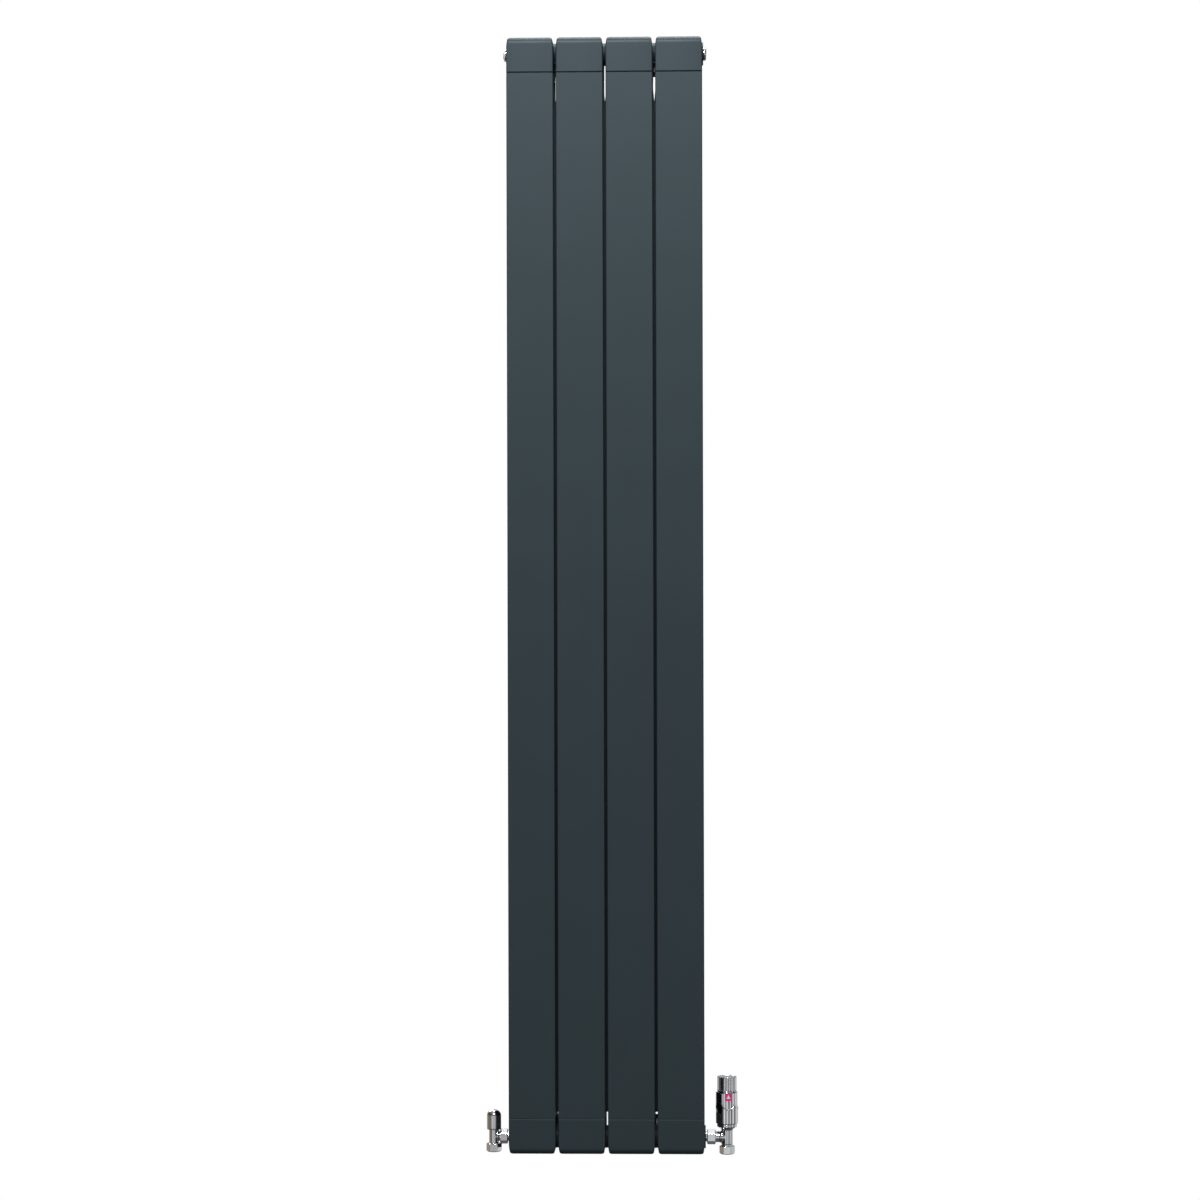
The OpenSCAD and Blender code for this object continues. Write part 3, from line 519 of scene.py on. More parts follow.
def head_levels(inset):
    foot = SEAM + SEAM_GAP
    taper = TOP - CORNER_ROUND - TAPER_H
    levels = [foot, foot + SEAM_CHAMFER, foot + 2, foot + 12, taper - 2, taper, taper + 1]
    deep = BACK_ROUND - inset
    levels += [TOP - inset - deep * (1 - math.sin(math.pi / 2 * k / 16)) for k in range(17)]
    return [z for z in levels if z <= TOP - inset]


def head_shell():
    outer = [head_ring(z, 0) for z in head_levels(0)]
    inner = [head_ring(z, HEAD_WALL) for z in head_levels(HEAD_WALL)]
    count = len(outer[0])
    rings = inner[::-1] + outer
    vertices = [p for ring in rings for p in ring]
    faces = []
    for r in range(len(rings) - 1):
        for k in range(count):
            n = (k + 1) % count
            faces.append([r * count + k, r * count + n, (r + 1) * count + n, (r + 1) * count + k])
    faces.append(list(range(count)))
    faces.append([(len(rings) - 1) * count + k for k in range(count)])
    return make_object("head_shell", vertices, faces)


def stadium(width, depth, steps=14):
    """Outline of a slot shape, round at its front and back."""
    r = width / 2
    reach = depth / 2 - r
    points = []
    for side in (-1, 1):
        for k in range(steps + 1):
            a = math.pi * k / steps + (math.pi if side < 0 else 0)
            points.append((r * math.cos(a), side * reach + r * math.sin(a)))
    return points


def head_model():
    """One top head about its section's centre line: shell, hub, water way and spigot."""
    head = head_shell()
    hub_edge = [(0, 0), (HUB_R, 0, 0.7), (HUB_R, HUB_L, 0.7), (0, HUB_L)]
    hub = revolve("hub", fillet(hub_edge, 0, 4, False), (-HUB_L / 2, PIPE_Y, PIPE_Z), (1, 0, 0), 96)
    here = Matrix.Translation((0, PIPE_Y, 0))
    neck = prism("neck", stadium(*TUBE), SEAM, PIPE_Z, here)
    fit = 2 * TUBE_WALL + 0.3
    spigot = prism("spigot", stadium(TUBE[0] - fit, TUBE[1] - fit), SEAM - 12, SEAM + 1, here)
    web = box_solid("web", (-1, FRONT + 1.3, SEAM + SEAM_GAP), (1, PIPE_Y, PIPE_Z))
    lips = []
    for side in (-1, 1):
        left, right = sorted((side * 1.8, side * (PANEL_W / 2 - LIP_IN)))
        corner = (right, FRONT + LIP_IN + LIP_T, SEAM + 3)
        lips.append(box_solid("lip", (left, FRONT + HEAD_WALL - 0.1, SEAM + 1.6), corner))
        lips.append(box_solid("lip", (left, FRONT + LIP_IN, SEAM - LIP_DOWN), corner))
    combine(head, [hub, neck, spigot, web, *lips], "UNION")
    half_window = PANEL_W / 2 - HEAD_WALL - 2
    outline = [(-half_window, SEAM - 20), (half_window, SEAM - 20),
               (half_window, PIPE_Z - 4), (-half_window, PIPE_Z - 4)]
    turned = Matrix.Translation((0, BACK + 2, 0)) @ Matrix.Rotation(math.pi / 2, 4, "X")
    window = prism("window", fillet(outline, 3, 5), 0, HEAD_WALL + 3, turned)
    ends = []
    for side in (-1, 1):
        bore = [(0, -1), (HUB_THREAD_R + 1.1, -1), (HUB_THREAD_R, 0.6), (HUB_THREAD_R, HUB_THREAD_L),
                (0, HUB_THREAD_L)]
        ends.append(revolve("bore", bore, (side * HUB_L / 2, PIPE_Y, PIPE_Z), (-side, 0, 0), 96))
    water = revolve("water", [(0, 0), (HUB_WATER_R, 0), (HUB_WATER_R, HUB_L - 20), (0, HUB_L - 20)],
                    (-HUB_L / 2 + 10, PIPE_Y, PIPE_Z), (1, 0, 0), 72)
    inside = prism("inside", stadium(TUBE[0] - 9, TUBE[1] - 9), SEAM - 14, PIPE_Z, here)
    return combine(head, [window, *ends, water, inside], "DIFFERENCE")


def build_heads():
    model = head_model()
    for k in range(1, SECTIONS + 1):
        x = middle("top_head_%d" % k).x
        stand_for(copy_of(model, "cast_head_top_%d" % k, (x, 0, 0)), "top_head_%d" % k)
        stand_for(copy_of(model, "cast_head_bottom_%d" % k, (x, 0, 0), True), "bottom_head_%d" % k)
    bpy.data.objects.remove(model)


# ---------- nuts, tails and plugs ----------


def hex_nut(name, node, af, axis, bores, turn=0.0):
    """A hexagon nut the length of its CAD node. bores are (radius, from, to) along the axis."""
    low, high = span(node)
    along = [abs(a) for a in axis].index(1)
    length = high[along] - low[along]
    at = (low + high) / 2
    at[along] = low[along] if axis[along] > 0 else high[along]
    big = af / math.sqrt(3)
    lead = big - af / 2 + 0.5
    outline = [(bores[0][0], 0, 0.3), (af / 2 - 0.4, 0, 0.3), (big, lead * 0.6, 0.2),
               (big, length - lead * 0.6, 0.2), (af / 2 - 0.4, length, 0.3)]
    for r, start, end in reversed(bores):
        outline += [(r, end, 0.15), (r, start, 0.15)]
    outline = [p for k, p in enumerate(outline) if k == 0 or p[:2] != outline[k - 1][:2]]
    if outline[-1][:2] == outline[0][:2]:
        outline.pop()
    nut = revolve(name, fillet(outline, 0.2, 3), at, axis, 144, hex_bar(af), turn)
    return stand_for(nut, node)


UNION_LIP = 2.5
UNION_NECK_R = 8.0
UNION_THREAD_R = 9.6
NUT_AF = 22
NUT_LIP = 2.2
NUT_THREAD_R = 9.3
PIPE_R = 7.55
BUSH_R = 10.15
TAIL_R = 7.9
TAIL_FLANGE_R = 9.3


def build_union_nuts():
    for valve, side in (("trv", 1), ("lockshield", -1)):
        node = valve + "_union_nut"
        low, high = span(node)
        bores = [(UNION_NECK_R, 0, UNION_LIP), (UNION_THREAD_R, UNION_LIP, high.x - low.x)]
        hex_nut(valve + "_union", node, NUT_AF, (side, 0, 0), bores, math.pi / 6)


def build_compression_nuts():
    for valve in ("trv", "lockshield"):
        node = valve + "_compression_nut"
        low, high = span(node)
        bores = [(PIPE_R, 0, NUT_LIP), (NUT_THREAD_R, NUT_LIP, high.z - low.z)]
        hex_nut(valve + "_pipe_nut", node, NUT_AF, (0, 0, 1), bores, math.pi / 6)


def build_tailpieces():
    for valve, side in (("trv", 1), ("lockshield", -1)):
        node = valve + "_tailpiece"
        low, high = span(node)
        length = high.x - low.x
        thread = 11
        outline = [(5.2, 0, 0.2), (BUSH_R, 0, 0.6), (BUSH_R, thread, 0.5), (TAIL_R, thread, 0.4),
                   (TAIL_R, length - 2.7, 0.3), (TAIL_FLANGE_R, length - 2.7, 0.3),
                   (TAIL_FLANGE_R, length, 0.5), (5.2, length, 0.4)]
        at = (low.x if side > 0 else high.x, PIPE_Y, -PIPE_Z)
        stand_for(revolve(valve + "_tail", fillet(outline, 0.3), at, (side, 0, 0)), node)


def vent_levels():
    return {"seal": 0.8, "flange": 2.8, "top": 5.7, "boss_r": 5.1, "flange_r": 11}


def build_vent():
    v = vent_levels()
    at = (-HUB_FACE, PIPE_Y, PIPE_Z)
    outline = [(0, -10), (BUSH_R, -10, 0.5), (BUSH_R, v["seal"]), (v["flange_r"], v["seal"], 0.2),
               (v["flange_r"], v["flange"], 0.8), (v["boss_r"] + 1.2, v["flange"], 0.1),
               (v["boss_r"], v["flange"] + 0.2, 0.1), (v["boss_r"], v["top"] - 0.7, 0.05),
               (v["boss_r"] + 0.5, v["top"] - 0.5, 0.1), (v["boss_r"] + 0.4, v["top"], 0.2),
               (3.9, v["top"], 0.2), (3.9, v["top"] - 3, 0.1), (2.65, v["top"] - 3.1), (2.65, -7), (0, -7)]
    body = revolve("vent_fitting", fillet(outline, 0, 5, False), at, (-1, 0, 0))
    stand_for(body, "vent_body")

    low, high = span("vent_spout")
    thick = high.x - low.x
    ring = [(v["boss_r"] + 0.05, 0, 0.2), (8.2, 0, 0.4), (8.2, thick, 0.5), (v["boss_r"] + 0.05, thick, 0.2)]
    spout = revolve("vent_swivel", fillet(ring, 0.3), (high.x, PIPE_Y, PIPE_Z), (-1, 0, 0), 72)
    reach = PIPE_Z - low.z
    pipe = [(0, 6), (thick / 2, 6), (thick / 2, reach, 0.2), (0.5, reach, 0.1), (0.5, reach - 3),
            (0, reach - 3)]
    root = ((low.x + high.x) / 2, PIPE_Y, PIPE_Z)
    nozzle = revolve("nozzle", fillet(pipe, 0, 3, False), root, (0, 0, -1), 32)
    stand_for(combine(spout, [nozzle], "UNION"), "vent_spout")

    low, high = span("vent_screw")
    depth = high.x - low.x
    shank = depth - 2.5
    pin = [(0, 0), (1.2, 0, 0.2), (2.6, 2, 0.2), (2.6, shank, 0.2), (0, shank)]
    inner_end = (high.x, PIPE_Y, PIPE_Z)
    screw = revolve("bleed_screw", fillet(pin, 0, 4, False), inner_end, (-1, 0, 0), 48)
    key = fillet([(-1.6, -1.6), (1.6, -1.6), (1.6, 1.6), (-1.6, 1.6)], 0.3, 3)
    square = prism("key", key, shank - 0.5, depth, axis_matrix((-1, 0, 0), inner_end), 0.2)
    stand_for(combine(screw, [square], "UNION"), "vent_screw")


def build_plug():
    low, high = span("blanking_plug")
    at = (HUB_FACE, PIPE_Y, PIPE_Z)
    top = high.x - HUB_FACE
    outline = [(0, -10), (BUSH_R, -10, 0.5), (BUSH_R, 0.8), (11, 0.8, 0.2), (11, 2.4, 0.3),
               (10.4, top - 1, 2.0), (8.4, top - 0.15, 2.5), (0, top)]
    plug = revolve("plug", fillet(outline, 0, 6, False), at, (1, 0, 0))
    slot = prism("slot", fillet([(-8, -1), (8, -1), (8, 1), (-8, 1)], 0.8, 4), top - 1.5, top + 1,
                 axis_matrix((1, 0, 0), at))
    stand_for(combine(plug, [slot], "DIFFERENCE"), "blanking_plug")


# ---------- thermostatic valve ----------

TRV = Vector((middle("trv_ring_nut").x, PIPE_Y, -PIPE_Z))
DIAL_REST = math.radians(7)


def closed_turn(name, outline, at, axis=(0, 0, 1), segments=96):
    return revolve(name, fillet(outline, 0, 5, False), at, axis, segments)


def bore_tool(r, low, high, at, axis=(0, 0, 1)):
    return revolve("bore", [(0, low), (r, low), (r, high), (0, high)], at, axis, 72)


def build_trv_body():
    low, high = span("trv_body")
    reach = TRV.x - low.x
    stub = low.z - TRV.z
    top = high.z - TRV.z
    barrel = [(0, stub), (9.1, stub, 0.4), (9.1, -11.2, 0.3), (9.5, -11, 0.4), (9.5, 12.5, 3),
              (14.8, 16.7, 0.5), (14.8, top, 0.6), (0, top)]
    arm = [(0, 0), (8.9, 0), (8.9, reach - 7.8, 0.2), (9.5, reach - 7.6, 0.3), (9.5, reach, 0.6), (0, reach)]
    parts = [closed_turn("barrel", barrel, TRV), closed_turn("arm", arm, TRV, (-1, 0, 0)),
             closed_turn("root", [(0, 6), (10.6, 6, 3), (9.2, 13, 3), (0, 13)], TRV, (-1, 0, 0))]
    body = cast_together("trv_casting", parts, 0.34, 6)
    bores = [bore_tool(r, start, end, TRV) for r, start, end in
             ((PIPE_R, stub - 1, -10), (5.5, -11, -6), (7.6, -7, 11.5), (7, 11, top + 1))]
    bores.append(bore_tool(5.5, 0, reach + 1, TRV, (-1, 0, 0)))
    stand_for(combine(body, bores, "DIFFERENCE", 50), "trv_body")


def build_trv_ring():
    low, high = span("trv_ring_nut")
    height = high.z - low.z
    outline = [(14.85, 0, 0.2), (16.0, 0, 0.5), (16.3, 0.9, 0.3), (16.3, height - 1.5, 0.3),
               (15.9, height - 1.3, 0.15), (15.9, height - 0.9, 0.15), (16.3, height - 0.7, 0.2),
               (16.1, height, 0.4), (13.3, height, 0.3), (13.3, height - 1, 0.1), (14.85, height - 1.05, 0.1)]
    ring = revolve("trv_ring", fillet(outline, 0.2, 4), (TRV.x, TRV.y, low.z), segments=128)
    stand_for(ring, "trv_ring_nut")


FLUTES = 5
FLUTE_W = 20.4
FLUTE_H = 28
FLUTE_DEPTH = 0.8
FLUTE_EDGE = 0.9
SCALLOP = 1.7
SLEEVE_R = 18.3
CAP_R = 15.6
GROOVES = 32


def smooth_step(t):
    t = min(max(t, 0.0), 1.0)
    return t * t * (3 - 2 * t)


def flute_place(angle, turn):
    """Angle from the middle of the nearest flute."""
    pitch = math.tau / FLUTES
    return (angle - turn + pitch / 2) % pitch - pitch / 2


def sleeve_warp(height, front):
    """Sinks the U flutes, lifts a thin rim round each, and dips the top edge between them."""

    def warp(angle, r, h):
        off = flute_place(angle, front)
        dip = SCALLOP * (off / (math.pi / FLUTES)) ** 2 * smooth_step((h - height + 14) / 14)
        z = h - dip
        if r < SLEEVE_R - 1.2:
            return r, min(z, h)
        across = SLEEVE_R * math.sin(off)
        centre = height - FLUTE_H + FLUTE_W / 2
        reach = abs(across) if z > centre else math.hypot(across, z - centre)
        inside = FLUTE_W / 2 - reach
        sunk = FLUTE_DEPTH * smooth_step(inside / FLUTE_EDGE)
        scoop = 0.25 * smooth_step(inside / (FLUTE_W / 2))
        rim = 0.14 * math.exp(-((inside + 0.25) / 0.35) ** 2)
        return r - 0.14 + rim - sunk - scoop, z

    return warp


def build_sleeve():
    low, high = span("trv_sleeve")
    height = high.z - low.z
    outer = [(SLEEVE_R - 0.5, 0.0), (SLEEVE_R - 0.15, 0.15), (SLEEVE_R, 0.5)]
    rows = 150
    outer += [(SLEEVE_R, 0.5 + (height - 1.1) * k / rows) for k in range(1, rows + 1)]
    rim = [(SLEEVE_R - 0.12, height - 0.3), (SLEEVE_R - 0.4, height - 0.08), (SLEEVE_R - 0.8, height),
           (14.8, height), (14.4, height - 0.15), (14.2, height - 0.5)]
    inner = [(14.2, height - 12), (16.2, height - 12.2), (16.2, 2.4), (13.05, 2.4), (13.05, 0.2), (13.3, 0)]
    sleeve = revolve("trv_fluted_sleeve", outer + rim + inner, (TRV.x, TRV.y, low.z), segments=360,
                     warp=sleeve_warp(height, -math.pi / 2), turn=DIAL_REST)
    stand_for(sleeve, "trv_sleeve")


def cap_warp(height):
    """Cuts the cap's upright grip slots."""

    def warp(angle, r, h):
        if r < 14.6 or h < 1.2:
            return r, h
        slot = smooth_step((0.5 + 0.5 * math.cos(GROOVES * angle) - 0.36) / 0.30)
        fade = smooth_step((h - 1.2) / 0.8) * smooth_step((height - 0.2 - h) / 1.4 + 0.35)
        return r - 1.0 * slot * fade, h

    return warp


def build_cap():
    low, high = span("trv_cap")
    height = high.z - low.z
    outer = [(CAP_R - 0.3, 0), (CAP_R, 0.3)]
    outer += [(CAP_R, 0.3 + (height - 1.5) * k / 22) for k in range(1, 23)]
    crown = [(0.15, 0.75), (0.5, 0.3), (1.1, 0.02), (1.6, 0), (2.6, 0), (2.9, 0.15), (3.2, 0.5), (3.6, 0.62),
             (6, 0.6), (10, 0.4), (CAP_R, 0.25)]
    crown = [(CAP_R - back, height - down) for back, down in crown]
    inner = [(0, height - 2.4), (CAP_R - 2.4, height - 2.4), (CAP_R - 2.2, height - 2.6), (CAP_R - 2.2, 0.2),
             (CAP_R - 2, 0)]
    profile = crown[::-1] + outer[::-1] + inner[::-1]
    cap = revolve("trv_grip_cap", profile, (TRV.x, TRV.y, low.z), segments=GROOVES * 12,
                  warp=cap_warp(height), turn=DIAL_REST)
    stand_for(cap, "trv_cap")


def bent_plate(name, outline, r_in, r_out, z0, edge=0.25):
    """A flat outline of (across, up) points wrapped on the dial's front as a raised plate."""
    rings = [(r_in, 0.0), (r_out - edge, 0.0), (r_out - edge * 0.3, edge * 0.3), (r_out, edge)]
    count = len(outline)
    vertices, faces = [], []
    for r, inset in rings:
        for a, b in shrink(outline, inset):
            angle = -math.pi / 2 + DIAL_REST + a / r_out
            vertices.append((r * math.cos(angle), r * math.sin(angle), z0 + b))
    for k in range(len(rings) - 1):
        for s in range(count):
            n = (s + 1) % count
            faces.append([k * count + s, k * count + n, (k + 1) * count + n, (k + 1) * count + s])
    bottom = list(range(count))
    top = [(len(rings) - 1) * count + s for s in range(count)]
    for loop in (bottom, top):
        half = count // 2
        for s in range(half - 1):
            faces.append([loop[s], loop[s + 1], loop[count - 2 - s], loop[count - 1 - s]])
    return make_object(name, vertices, faces, Matrix.Translation((TRV.x, TRV.y, 0)))


def strip_outline(width_at, low, high, steps=16):
    """Outline with matched left and right points, so that it can be filled in strips."""
    heights = [low + (high - low) * k / steps for k in range(steps + 1)]
    right = [(width_at(height), height) for height in heights]
    left = [(-x, y) for x, y in reversed(right)]
    return right + left


def build_badge():
    low, high = span("trv_badge")
    height = high.z - low.z

    def plate_width(y):
        corner = 2.2
        edge = min(y, height - 0.6 - y)
        pull = drop(max(edge, 0.0), corner) if edge < corner else 0.0
        return 5.9 - pull

    plate = strip_outline(plate_width, 0.0, height - 0.6)
    badge = bent_plate("trv_badge_plate", plate, SLEEVE_R - 1.6, SLEEVE_R - 0.12, low.z)
    stand_for(badge, "trv_badge")

    low_m, high_m = span("trv_badge_mark")
    tall = high_m.z - low_m.z

    def arrow_width(y):
        return 0.25 + 2.7 * (1 - y / tall)

    arrow = strip_outline(arrow_width, 0.0, tall, 8)
    mark = bent_plate("trv_badge_arrow", arrow, SLEEVE_R - 0.5, SLEEVE_R - 0.01, low_m.z, 0.06)
    stand_for(mark, "trv_badge_mark")


# ---------- lockshield valve ----------

SHIELD = Vector((middle("lockshield_cap").x, PIPE_Y, -PIPE_Z))


def build_lockshield_body():
    low, high = span("lockshield_body")
    reach = high.x - SHIELD.x
    stub = low.z - SHIELD.z
    ledge = high.z - SHIELD.z
    barrel = [(0, stub), (9.1, stub, 0.4), (9.1, -11.2, 0.4), (8.1, -10.6, 0.6), (8.1, 11.4, 0.5),
              (10.3, 11.7, 0.4), (10.3, ledge, 0.5), (0, ledge)]
    arm = [(0, 0), (7.8, 0), (7.8, reach - 6.8, 0.3), (9.5, reach - 6.4, 0.3), (9.5, reach, 0.6), (0, reach)]
    parts = [closed_turn("barrel", barrel, SHIELD), closed_turn("arm", arm, SHIELD, (1, 0, 0)),
             closed_turn("root", [(0, 4), (9.2, 4, 3), (8.2, 9.5, 3), (0, 9.5)], SHIELD, (1, 0, 0))]
    body = cast_together("lockshield_casting", parts, 0.3, 6)
    bores = [bore_tool(r, start, end, SHIELD) for r, start, end in
             ((PIPE_R, stub - 1, -11.5), (5, -12.5, -6), (6.2, -7, 5), (2.05, 4, 8), (4.6, 6.6, ledge + 1))]
    bores.append(bore_tool(5, 0, reach + 1, SHIELD, (1, 0, 0)))
    stand_for(combine(body, bores, "DIFFERENCE", 50), "lockshield_body")


def build_lockshield_cap():
    low, high = span("lockshield_cap")
    height = high.z - low.z
    r = 11.65
    dome = 10
    wall = 1.25
    outer = [(r - 0.4, 0), (r - 0.1, 0.1), (r, 0.4)]
    outer += [(r, 0.4 + (height - dome - 0.4) * k / 6) for k in range(1, 7)]
    for k in range(1, 28):
        a = math.pi / 2 * k / 28
        outer.append((r * math.cos(a), height - dome + dome * math.sin(a)))
    outer.append((0, height))
    grip = r - wall
    core = grip - 0.9
    inner = [(0, height - wall)]
    for k in range(19, -1, -1):
        a = math.pi / 2 * k / 20
        inner.append((core * math.cos(a), height - wall - dome + dome * math.sin(a)))
    inner += [(core, 4.5), (grip, 4.3), (grip, 0.3), (grip + 0.3, 0)]
    profile = outer[::-1] + inner[::-1]
    cap = revolve("lockshield_dome", profile, (SHIELD.x, SHIELD.y, low.z), segments=128)
    stand_for(cap, "lockshield_cap")


def build_lockshield_spindle():
    low, high = span("lockshield_spindle")
    height = high.z - low.z
    pin = [(0, 0), (2, 0, 0.3), (2, 6.9, 0.1), (3.8, 6.9, 0.2), (3.8, 8.3, 0.2), (2.5, 8.3, 0.2),
           (2.5, 26.2, 0.3), (0, 26.2)]
    spindle = closed_turn("lockshield_stem", pin, (SHIELD.x, SHIELD.y, low.z), segments=64)
    key = fillet([(-2.3, -2.3), (2.3, -2.3), (2.3, 2.3), (-2.3, 2.3)], 0.35, 3)
    square = prism("key", key, 25.6, height, Matrix.Translation((SHIELD.x, SHIELD.y, low.z)), 0.3)
    stand_for(combine(spindle, [square], "UNION"), "lockshield_spindle")


# ---------- wall brackets ----------

BRACKET_T = 3


def outline_of_arm(hook):
    """Side view of a bracket's arm as [y, z] about the pipe axis, as the CAD has it."""
    seat = HUB_R + 1.1
    if hook:
        under = seat + 3
        tip = under * math.sin(math.pi / 4)
        return seat, [(-1.5, 2), (-1.5, -18), (PIPE_Y + tip / 3, -under), (PIPE_Y - tip / 2, -under),
                      (PIPE_Y - tip, -tip), (PIPE_Y - seat / 2, -seat / 2), (PIPE_Y, -seat / 2),
                      (PIPE_Y + seat - 1, 2)]
    half = math.radians(42)
    across, up = seat * math.cos(half), seat * math.sin(half)
    return seat, [(-1.5, 2), (-1.5, -18), (PIPE_Y + across, -up), (PIPE_Y + across, up)]


def bracket_model(hook):
    low, high = span("bracket_top_left" if hook else "bracket_top_right")
    width = high.x - low.x
    bottom, top = -24, high.z - PIPE_Z
    corners = [(-width / 2, bottom), (width / 2, bottom), (width / 2, top), (-width / 2, top)]
    flat = Matrix.Translation((0, 0, PIPE_Z)) @ Matrix.Rotation(math.pi / 2, 4, "X")
    plate = prism("plate", fillet(corners, 4, 6), 0, BRACKET_T, flat, 0.4)
    seat, arm_outline = outline_of_arm(hook)
    swap_axes = Matrix(((0, 0, 1, 0), (1, 0, 0, 0), (0, 1, 0, 0), (0, 0, 0, 1)))
    side = Matrix.Translation((0, 0, PIPE_Z)) @ swap_axes
    arm = prism("arm", fillet(arm_outline[::-1], 1.2, 4)[::-1], -BRACKET_T / 2, BRACKET_T / 2, side)
    around = revolve("seat", [(0, -5), (seat, -5), (seat, 5), (0, 5)], (0, PIPE_Y, PIPE_Z), (1, 0, 0), 128)
    combine(arm, [around], "DIFFERENCE")
    combine(plate, [arm], "UNION")
    hole = revolve("hole", [(0, -1), (3.25, -1), (3.25, BRACKET_T + 1), (0, BRACKET_T + 1)],
                   (0, 0, PIPE_Z + 9), (0, -1, 0), 64)
    return combine(plate, [hole], "DIFFERENCE")


def build_brackets():
    for hook, level in ((True, "top"), (False, "bottom")):
        model = bracket_model(hook)
        for side in ("left", "right"):
            node = "bracket_%s_%s" % (level, side)
            piece = copy_of(model, "wall_" + node, (middle(node).x, 0, 0), not hook)
            stand_for(piece, node)
        bpy.data.objects.remove(model)


# ---------- CAD nodes that stay ----------


def dress_kept_nodes():
    for name, obj in frame["nodes"].items():
        dress(obj, SLOT_OF[name])


# ---------- stage, light and camera ----------

CAMERA_AWAY = 5.0
CAMERA_RIGHT = 0.160
LENS = 93.3
AIM = Vector((-0.0085, FRONT * MM, -0.0072))
ROLL = math.radians(-0.14)
FLOOR_Z = -1.05
FLOOR_REACH = 30


def build_camera():
    camera = bpy.data.cameras.new("camera")
    camera.lens = LENS
    camera.sensor_width = 36
    camera.clip_end = 100
    obj = bpy.data.objects.new("camera", camera)
    bpy.context.scene.collection.objects.link(obj)
    obj.location = (CAMERA_RIGHT, AIM.y - CAMERA_AWAY, AIM.z)
    look = (AIM - obj.location).to_track_quat("-Z", "Y")
    obj.rotation_mode = "QUATERNION"
    obj.rotation_quaternion = look @ Quaternion((0, 0, 1), ROLL)
    bpy.context.scene.camera = obj


def build_floor():
    """White to the camera, and clear to everything else, so that it throws no light on the part."""
    mesh = bpy.data.meshes.new("floor")
    corners = [(-FLOOR_REACH, -FLOOR_REACH), (FLOOR_REACH, -FLOOR_REACH), (FLOOR_REACH, FLOOR_REACH),
               (-FLOOR_REACH, FLOOR_REACH)]
    mesh.from_pydata([(x, y, FLOOR_Z) for x, y in corners], [], [(0, 1, 2, 3)])
    floor = bpy.data.objects.new("floor", mesh)
    bpy.context.scene.collection.objects.link(floor)
    m = Nodes("floor")
    glow = m.tree.nodes.new("ShaderNodeEmission")
    clear = m.tree.nodes.new("ShaderNodeBsdfTransparent")
    seen = m.tree.nodes.new("ShaderNodeLightPath")
    mix = m.tree.nodes.new("ShaderNodeMixShader")
    m.link(seen.outputs["Is Camera Ray"], mix.inputs[0])
    m.link(clear.outputs[0], mix.inputs[1])
    m.link(glow.outputs[0], mix.inputs[2])
    m.link(mix.outputs[0], m.tree.nodes["Material Output"].inputs["Surface"])
    mesh.materials.append(m.material)


# Tones round the studio: (share of a turn from the back, past the left and front, to the right)
STUDIO_BANDS = [
    (0.00, (0.90, 0.90, 0.90)), (0.10, (0.55, 0.53, 0.50)), (0.17, (0.30, 0.26, 0.22)),
    (0.26, (0.22, 0.18, 0.14)), (0.35, (0.20, 0.18, 0.16)), (0.40, (0.24, 0.23, 0.22)),
    (0.415, (0.90, 0.90, 0.90)), (0.435, (0.90, 0.90, 0.90)), (0.445, (0.30, 0.30, 0.30)),
    (0.49, (0.45, 0.45, 0.46)), (0.505, (0.80, 0.80, 0.80)), (0.53, (0.70, 0.70, 0.71)),
    (0.54, (0.12, 0.12, 0.12)), (0.575, (0.35, 0.35, 0.35)), (0.60, (0.85, 0.85, 0.85)),
    (0.62, (0.12, 0.12, 0.12)), (0.65, (0.10, 0.10, 0.10)), (0.665, (0.80, 0.80, 0.80)),
    (0.70, (0.75, 0.75, 0.75)), (0.72, (0.20, 0.20, 0.20)), (0.76, (0.15, 0.15, 0.15)),
    (0.79, (0.85, 0.85, 0.85)), (0.84, (0.60, 0.60, 0.60)), (0.90, (0.70, 0.70, 0.70)),
    (1.00, (0.90, 0.90, 0.90)),
]


# Tones up the studio: (share of the way from straight down to straight up, grey level)
STUDIO_HEIGHTS = [(0.0, 0.10), (0.28, 0.15), (0.36, 0.75), (0.47, 0.80), (0.54, 0.40), (0.75, 0.25),
                  (0.88, 0.80), (1.0, 1.0)]


def fill_ramp(ramp, stops):
    while len(ramp.elements) < len(stops):
        ramp.elements.new(0.5)
    for element, (share, tone) in zip(ramp.elements, stops):
        element.position = share
        element.color = (*tone, 1)


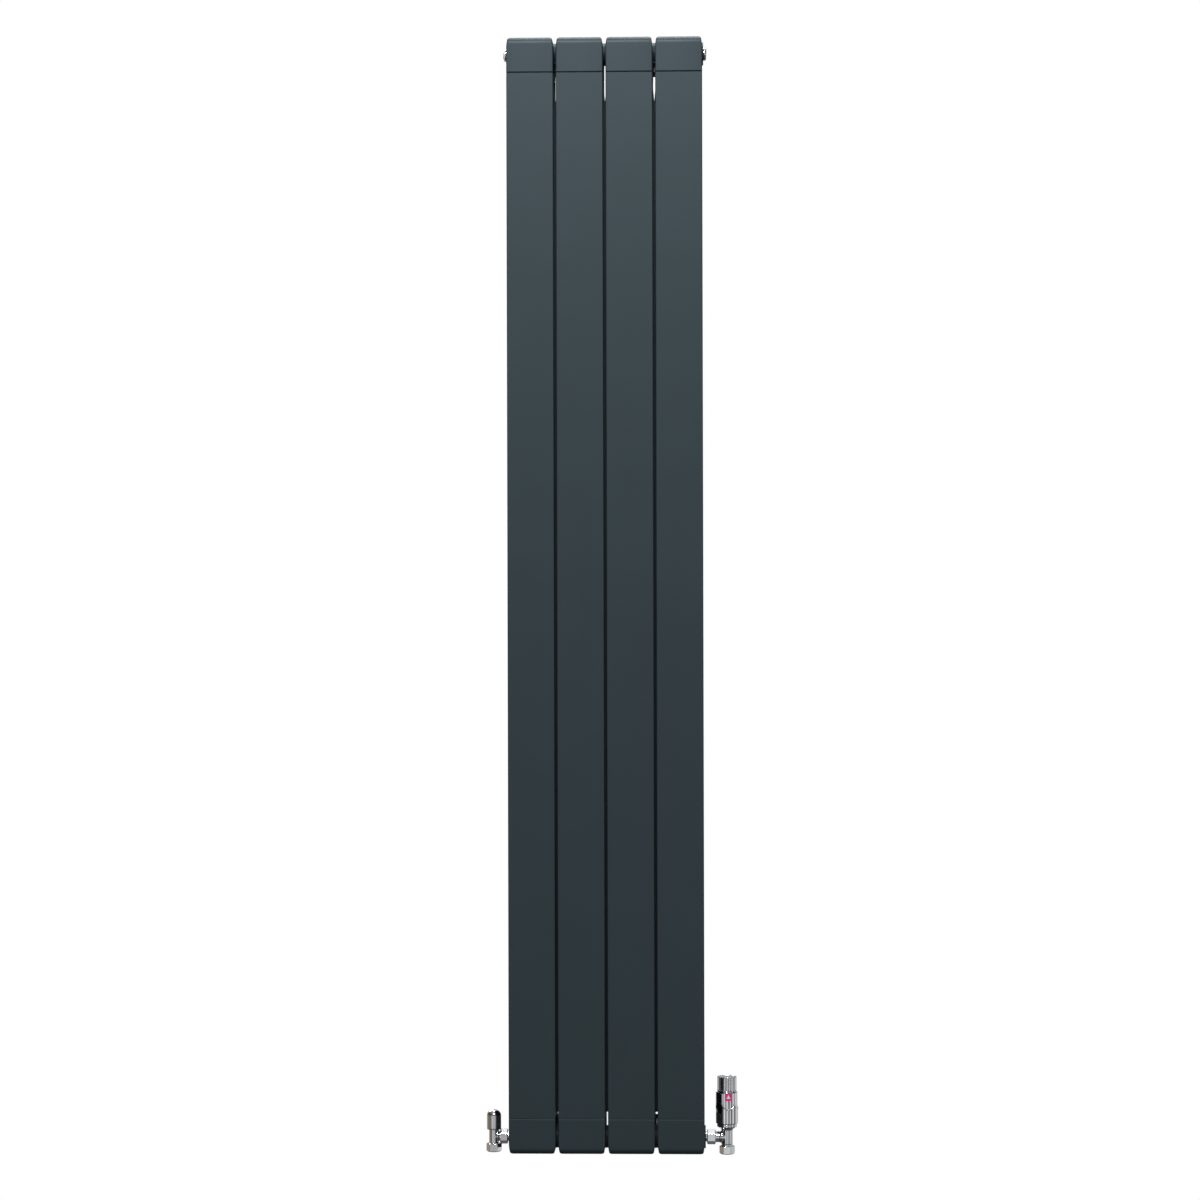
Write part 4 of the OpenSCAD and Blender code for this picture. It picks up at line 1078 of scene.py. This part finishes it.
def build_world():
    """White to the camera; to everything else a studio of soft panels and dark gaps."""
    world = bpy.data.worlds.new("studio")
    bpy.context.scene.world = world
    world.use_nodes = True
    tree = world.node_tree
    tree.nodes.clear()
    new = tree.nodes.new
    place = new("ShaderNodeTexCoord")
    parts = new("ShaderNodeSeparateXYZ")
    tree.links.new(place.outputs["Generated"], parts.inputs[0])
    around = new("ShaderNodeMath")
    around.operation = "ARCTAN2"
    tree.links.new(parts.outputs["X"], around.inputs[0])
    back = new("ShaderNodeMath")
    back.operation = "MULTIPLY"
    back.inputs[1].default_value = -1
    tree.links.new(parts.outputs["Y"], back.inputs[0])
    tree.links.new(back.outputs[0], around.inputs[1])
    turn = new("ShaderNodeMath")
    turn.operation = "MULTIPLY_ADD"
    turn.inputs[1].default_value = 1 / math.tau
    turn.inputs[2].default_value = 0.5
    tree.links.new(around.outputs[0], turn.inputs[0])
    bands = new("ShaderNodeValToRGB")
    fill_ramp(bands.color_ramp, STUDIO_BANDS)
    tree.links.new(turn.outputs[0], bands.inputs[0])
    level = new("ShaderNodeMath")
    level.operation = "MULTIPLY_ADD"
    level.inputs[1].default_value = 0.5
    level.inputs[2].default_value = 0.5
    tree.links.new(parts.outputs["Z"], level.inputs[0])
    height = new("ShaderNodeValToRGB")
    fill_ramp(height.color_ramp, [(share, (tone, tone, tone)) for share, tone in STUDIO_HEIGHTS])
    tree.links.new(level.outputs[0], height.inputs[0])
    shade = new("ShaderNodeMix")
    shade.data_type = "RGBA"
    shade.blend_type = "MULTIPLY"
    shade.inputs["Factor"].default_value = 1
    tree.links.new(bands.outputs[0], shade.inputs["A"])
    tree.links.new(height.outputs[0], shade.inputs["B"])
    studio = new("ShaderNodeBackground")
    tree.links.new(shade.outputs["Result"], studio.inputs["Color"])
    studio.inputs["Strength"].default_value = 1.25
    white = new("ShaderNodeBackground")
    white.inputs["Color"].default_value = (1, 1, 1, 1)
    white.inputs["Strength"].default_value = 1.0
    seen = new("ShaderNodeLightPath")
    mix = new("ShaderNodeMixShader")
    out = new("ShaderNodeOutputWorld")
    tree.links.new(seen.outputs["Is Camera Ray"], mix.inputs[0])
    tree.links.new(studio.outputs[0], mix.inputs[1])
    tree.links.new(white.outputs[0], mix.inputs[2])
    tree.links.new(mix.outputs[0], out.inputs[0])


def soft_box(name, at, aim, size, power, tone=(1, 1, 1)):
    """A soft light that nothing but its glow shows."""
    light = bpy.data.lights.new(name, "AREA")
    light.shape = "RECTANGLE"
    light.size, light.size_y = size
    light.energy = power
    light.color = tone
    obj = bpy.data.objects.new(name, light)
    bpy.context.scene.collection.objects.link(obj)
    obj.location = at
    obj.rotation_euler = (Vector(aim) - Vector(at)).to_track_quat("-Z", "Y").to_euler()
    obj.visible_camera = False


def build_lights():
    soft_box("key", (-0.4, -4.2, 3.4), (-0.4, 0, 3.4), (1.6, 0.8), 340, (0.80, 0.93, 1.0))
    soft_box("top", (0.1, 0.42, 2.6), (0, 0.1, 0.9), (1.6, 0.9), 40, (0.90, 0.95, 1.0))
    soft_box("back", (-1.2, 2.0, 1.0), (0, 0, 0.0), (1.6, 1.6), 25)


# ---------- everything ----------

build_camera()
build_floor()
build_world()
build_lights()
dress_kept_nodes()
build_heads()
build_union_nuts()
build_compression_nuts()
build_tailpieces()
build_vent()
build_plug()
build_trv_body()
build_trv_ring()
build_sleeve()
build_cap()
build_badge()
build_lockshield_body()
build_lockshield_cap()
build_lockshield_spindle()
build_brackets()

scene = bpy.context.scene
scene.view_settings.view_transform = "Standard"
scene.view_settings.look = "None"
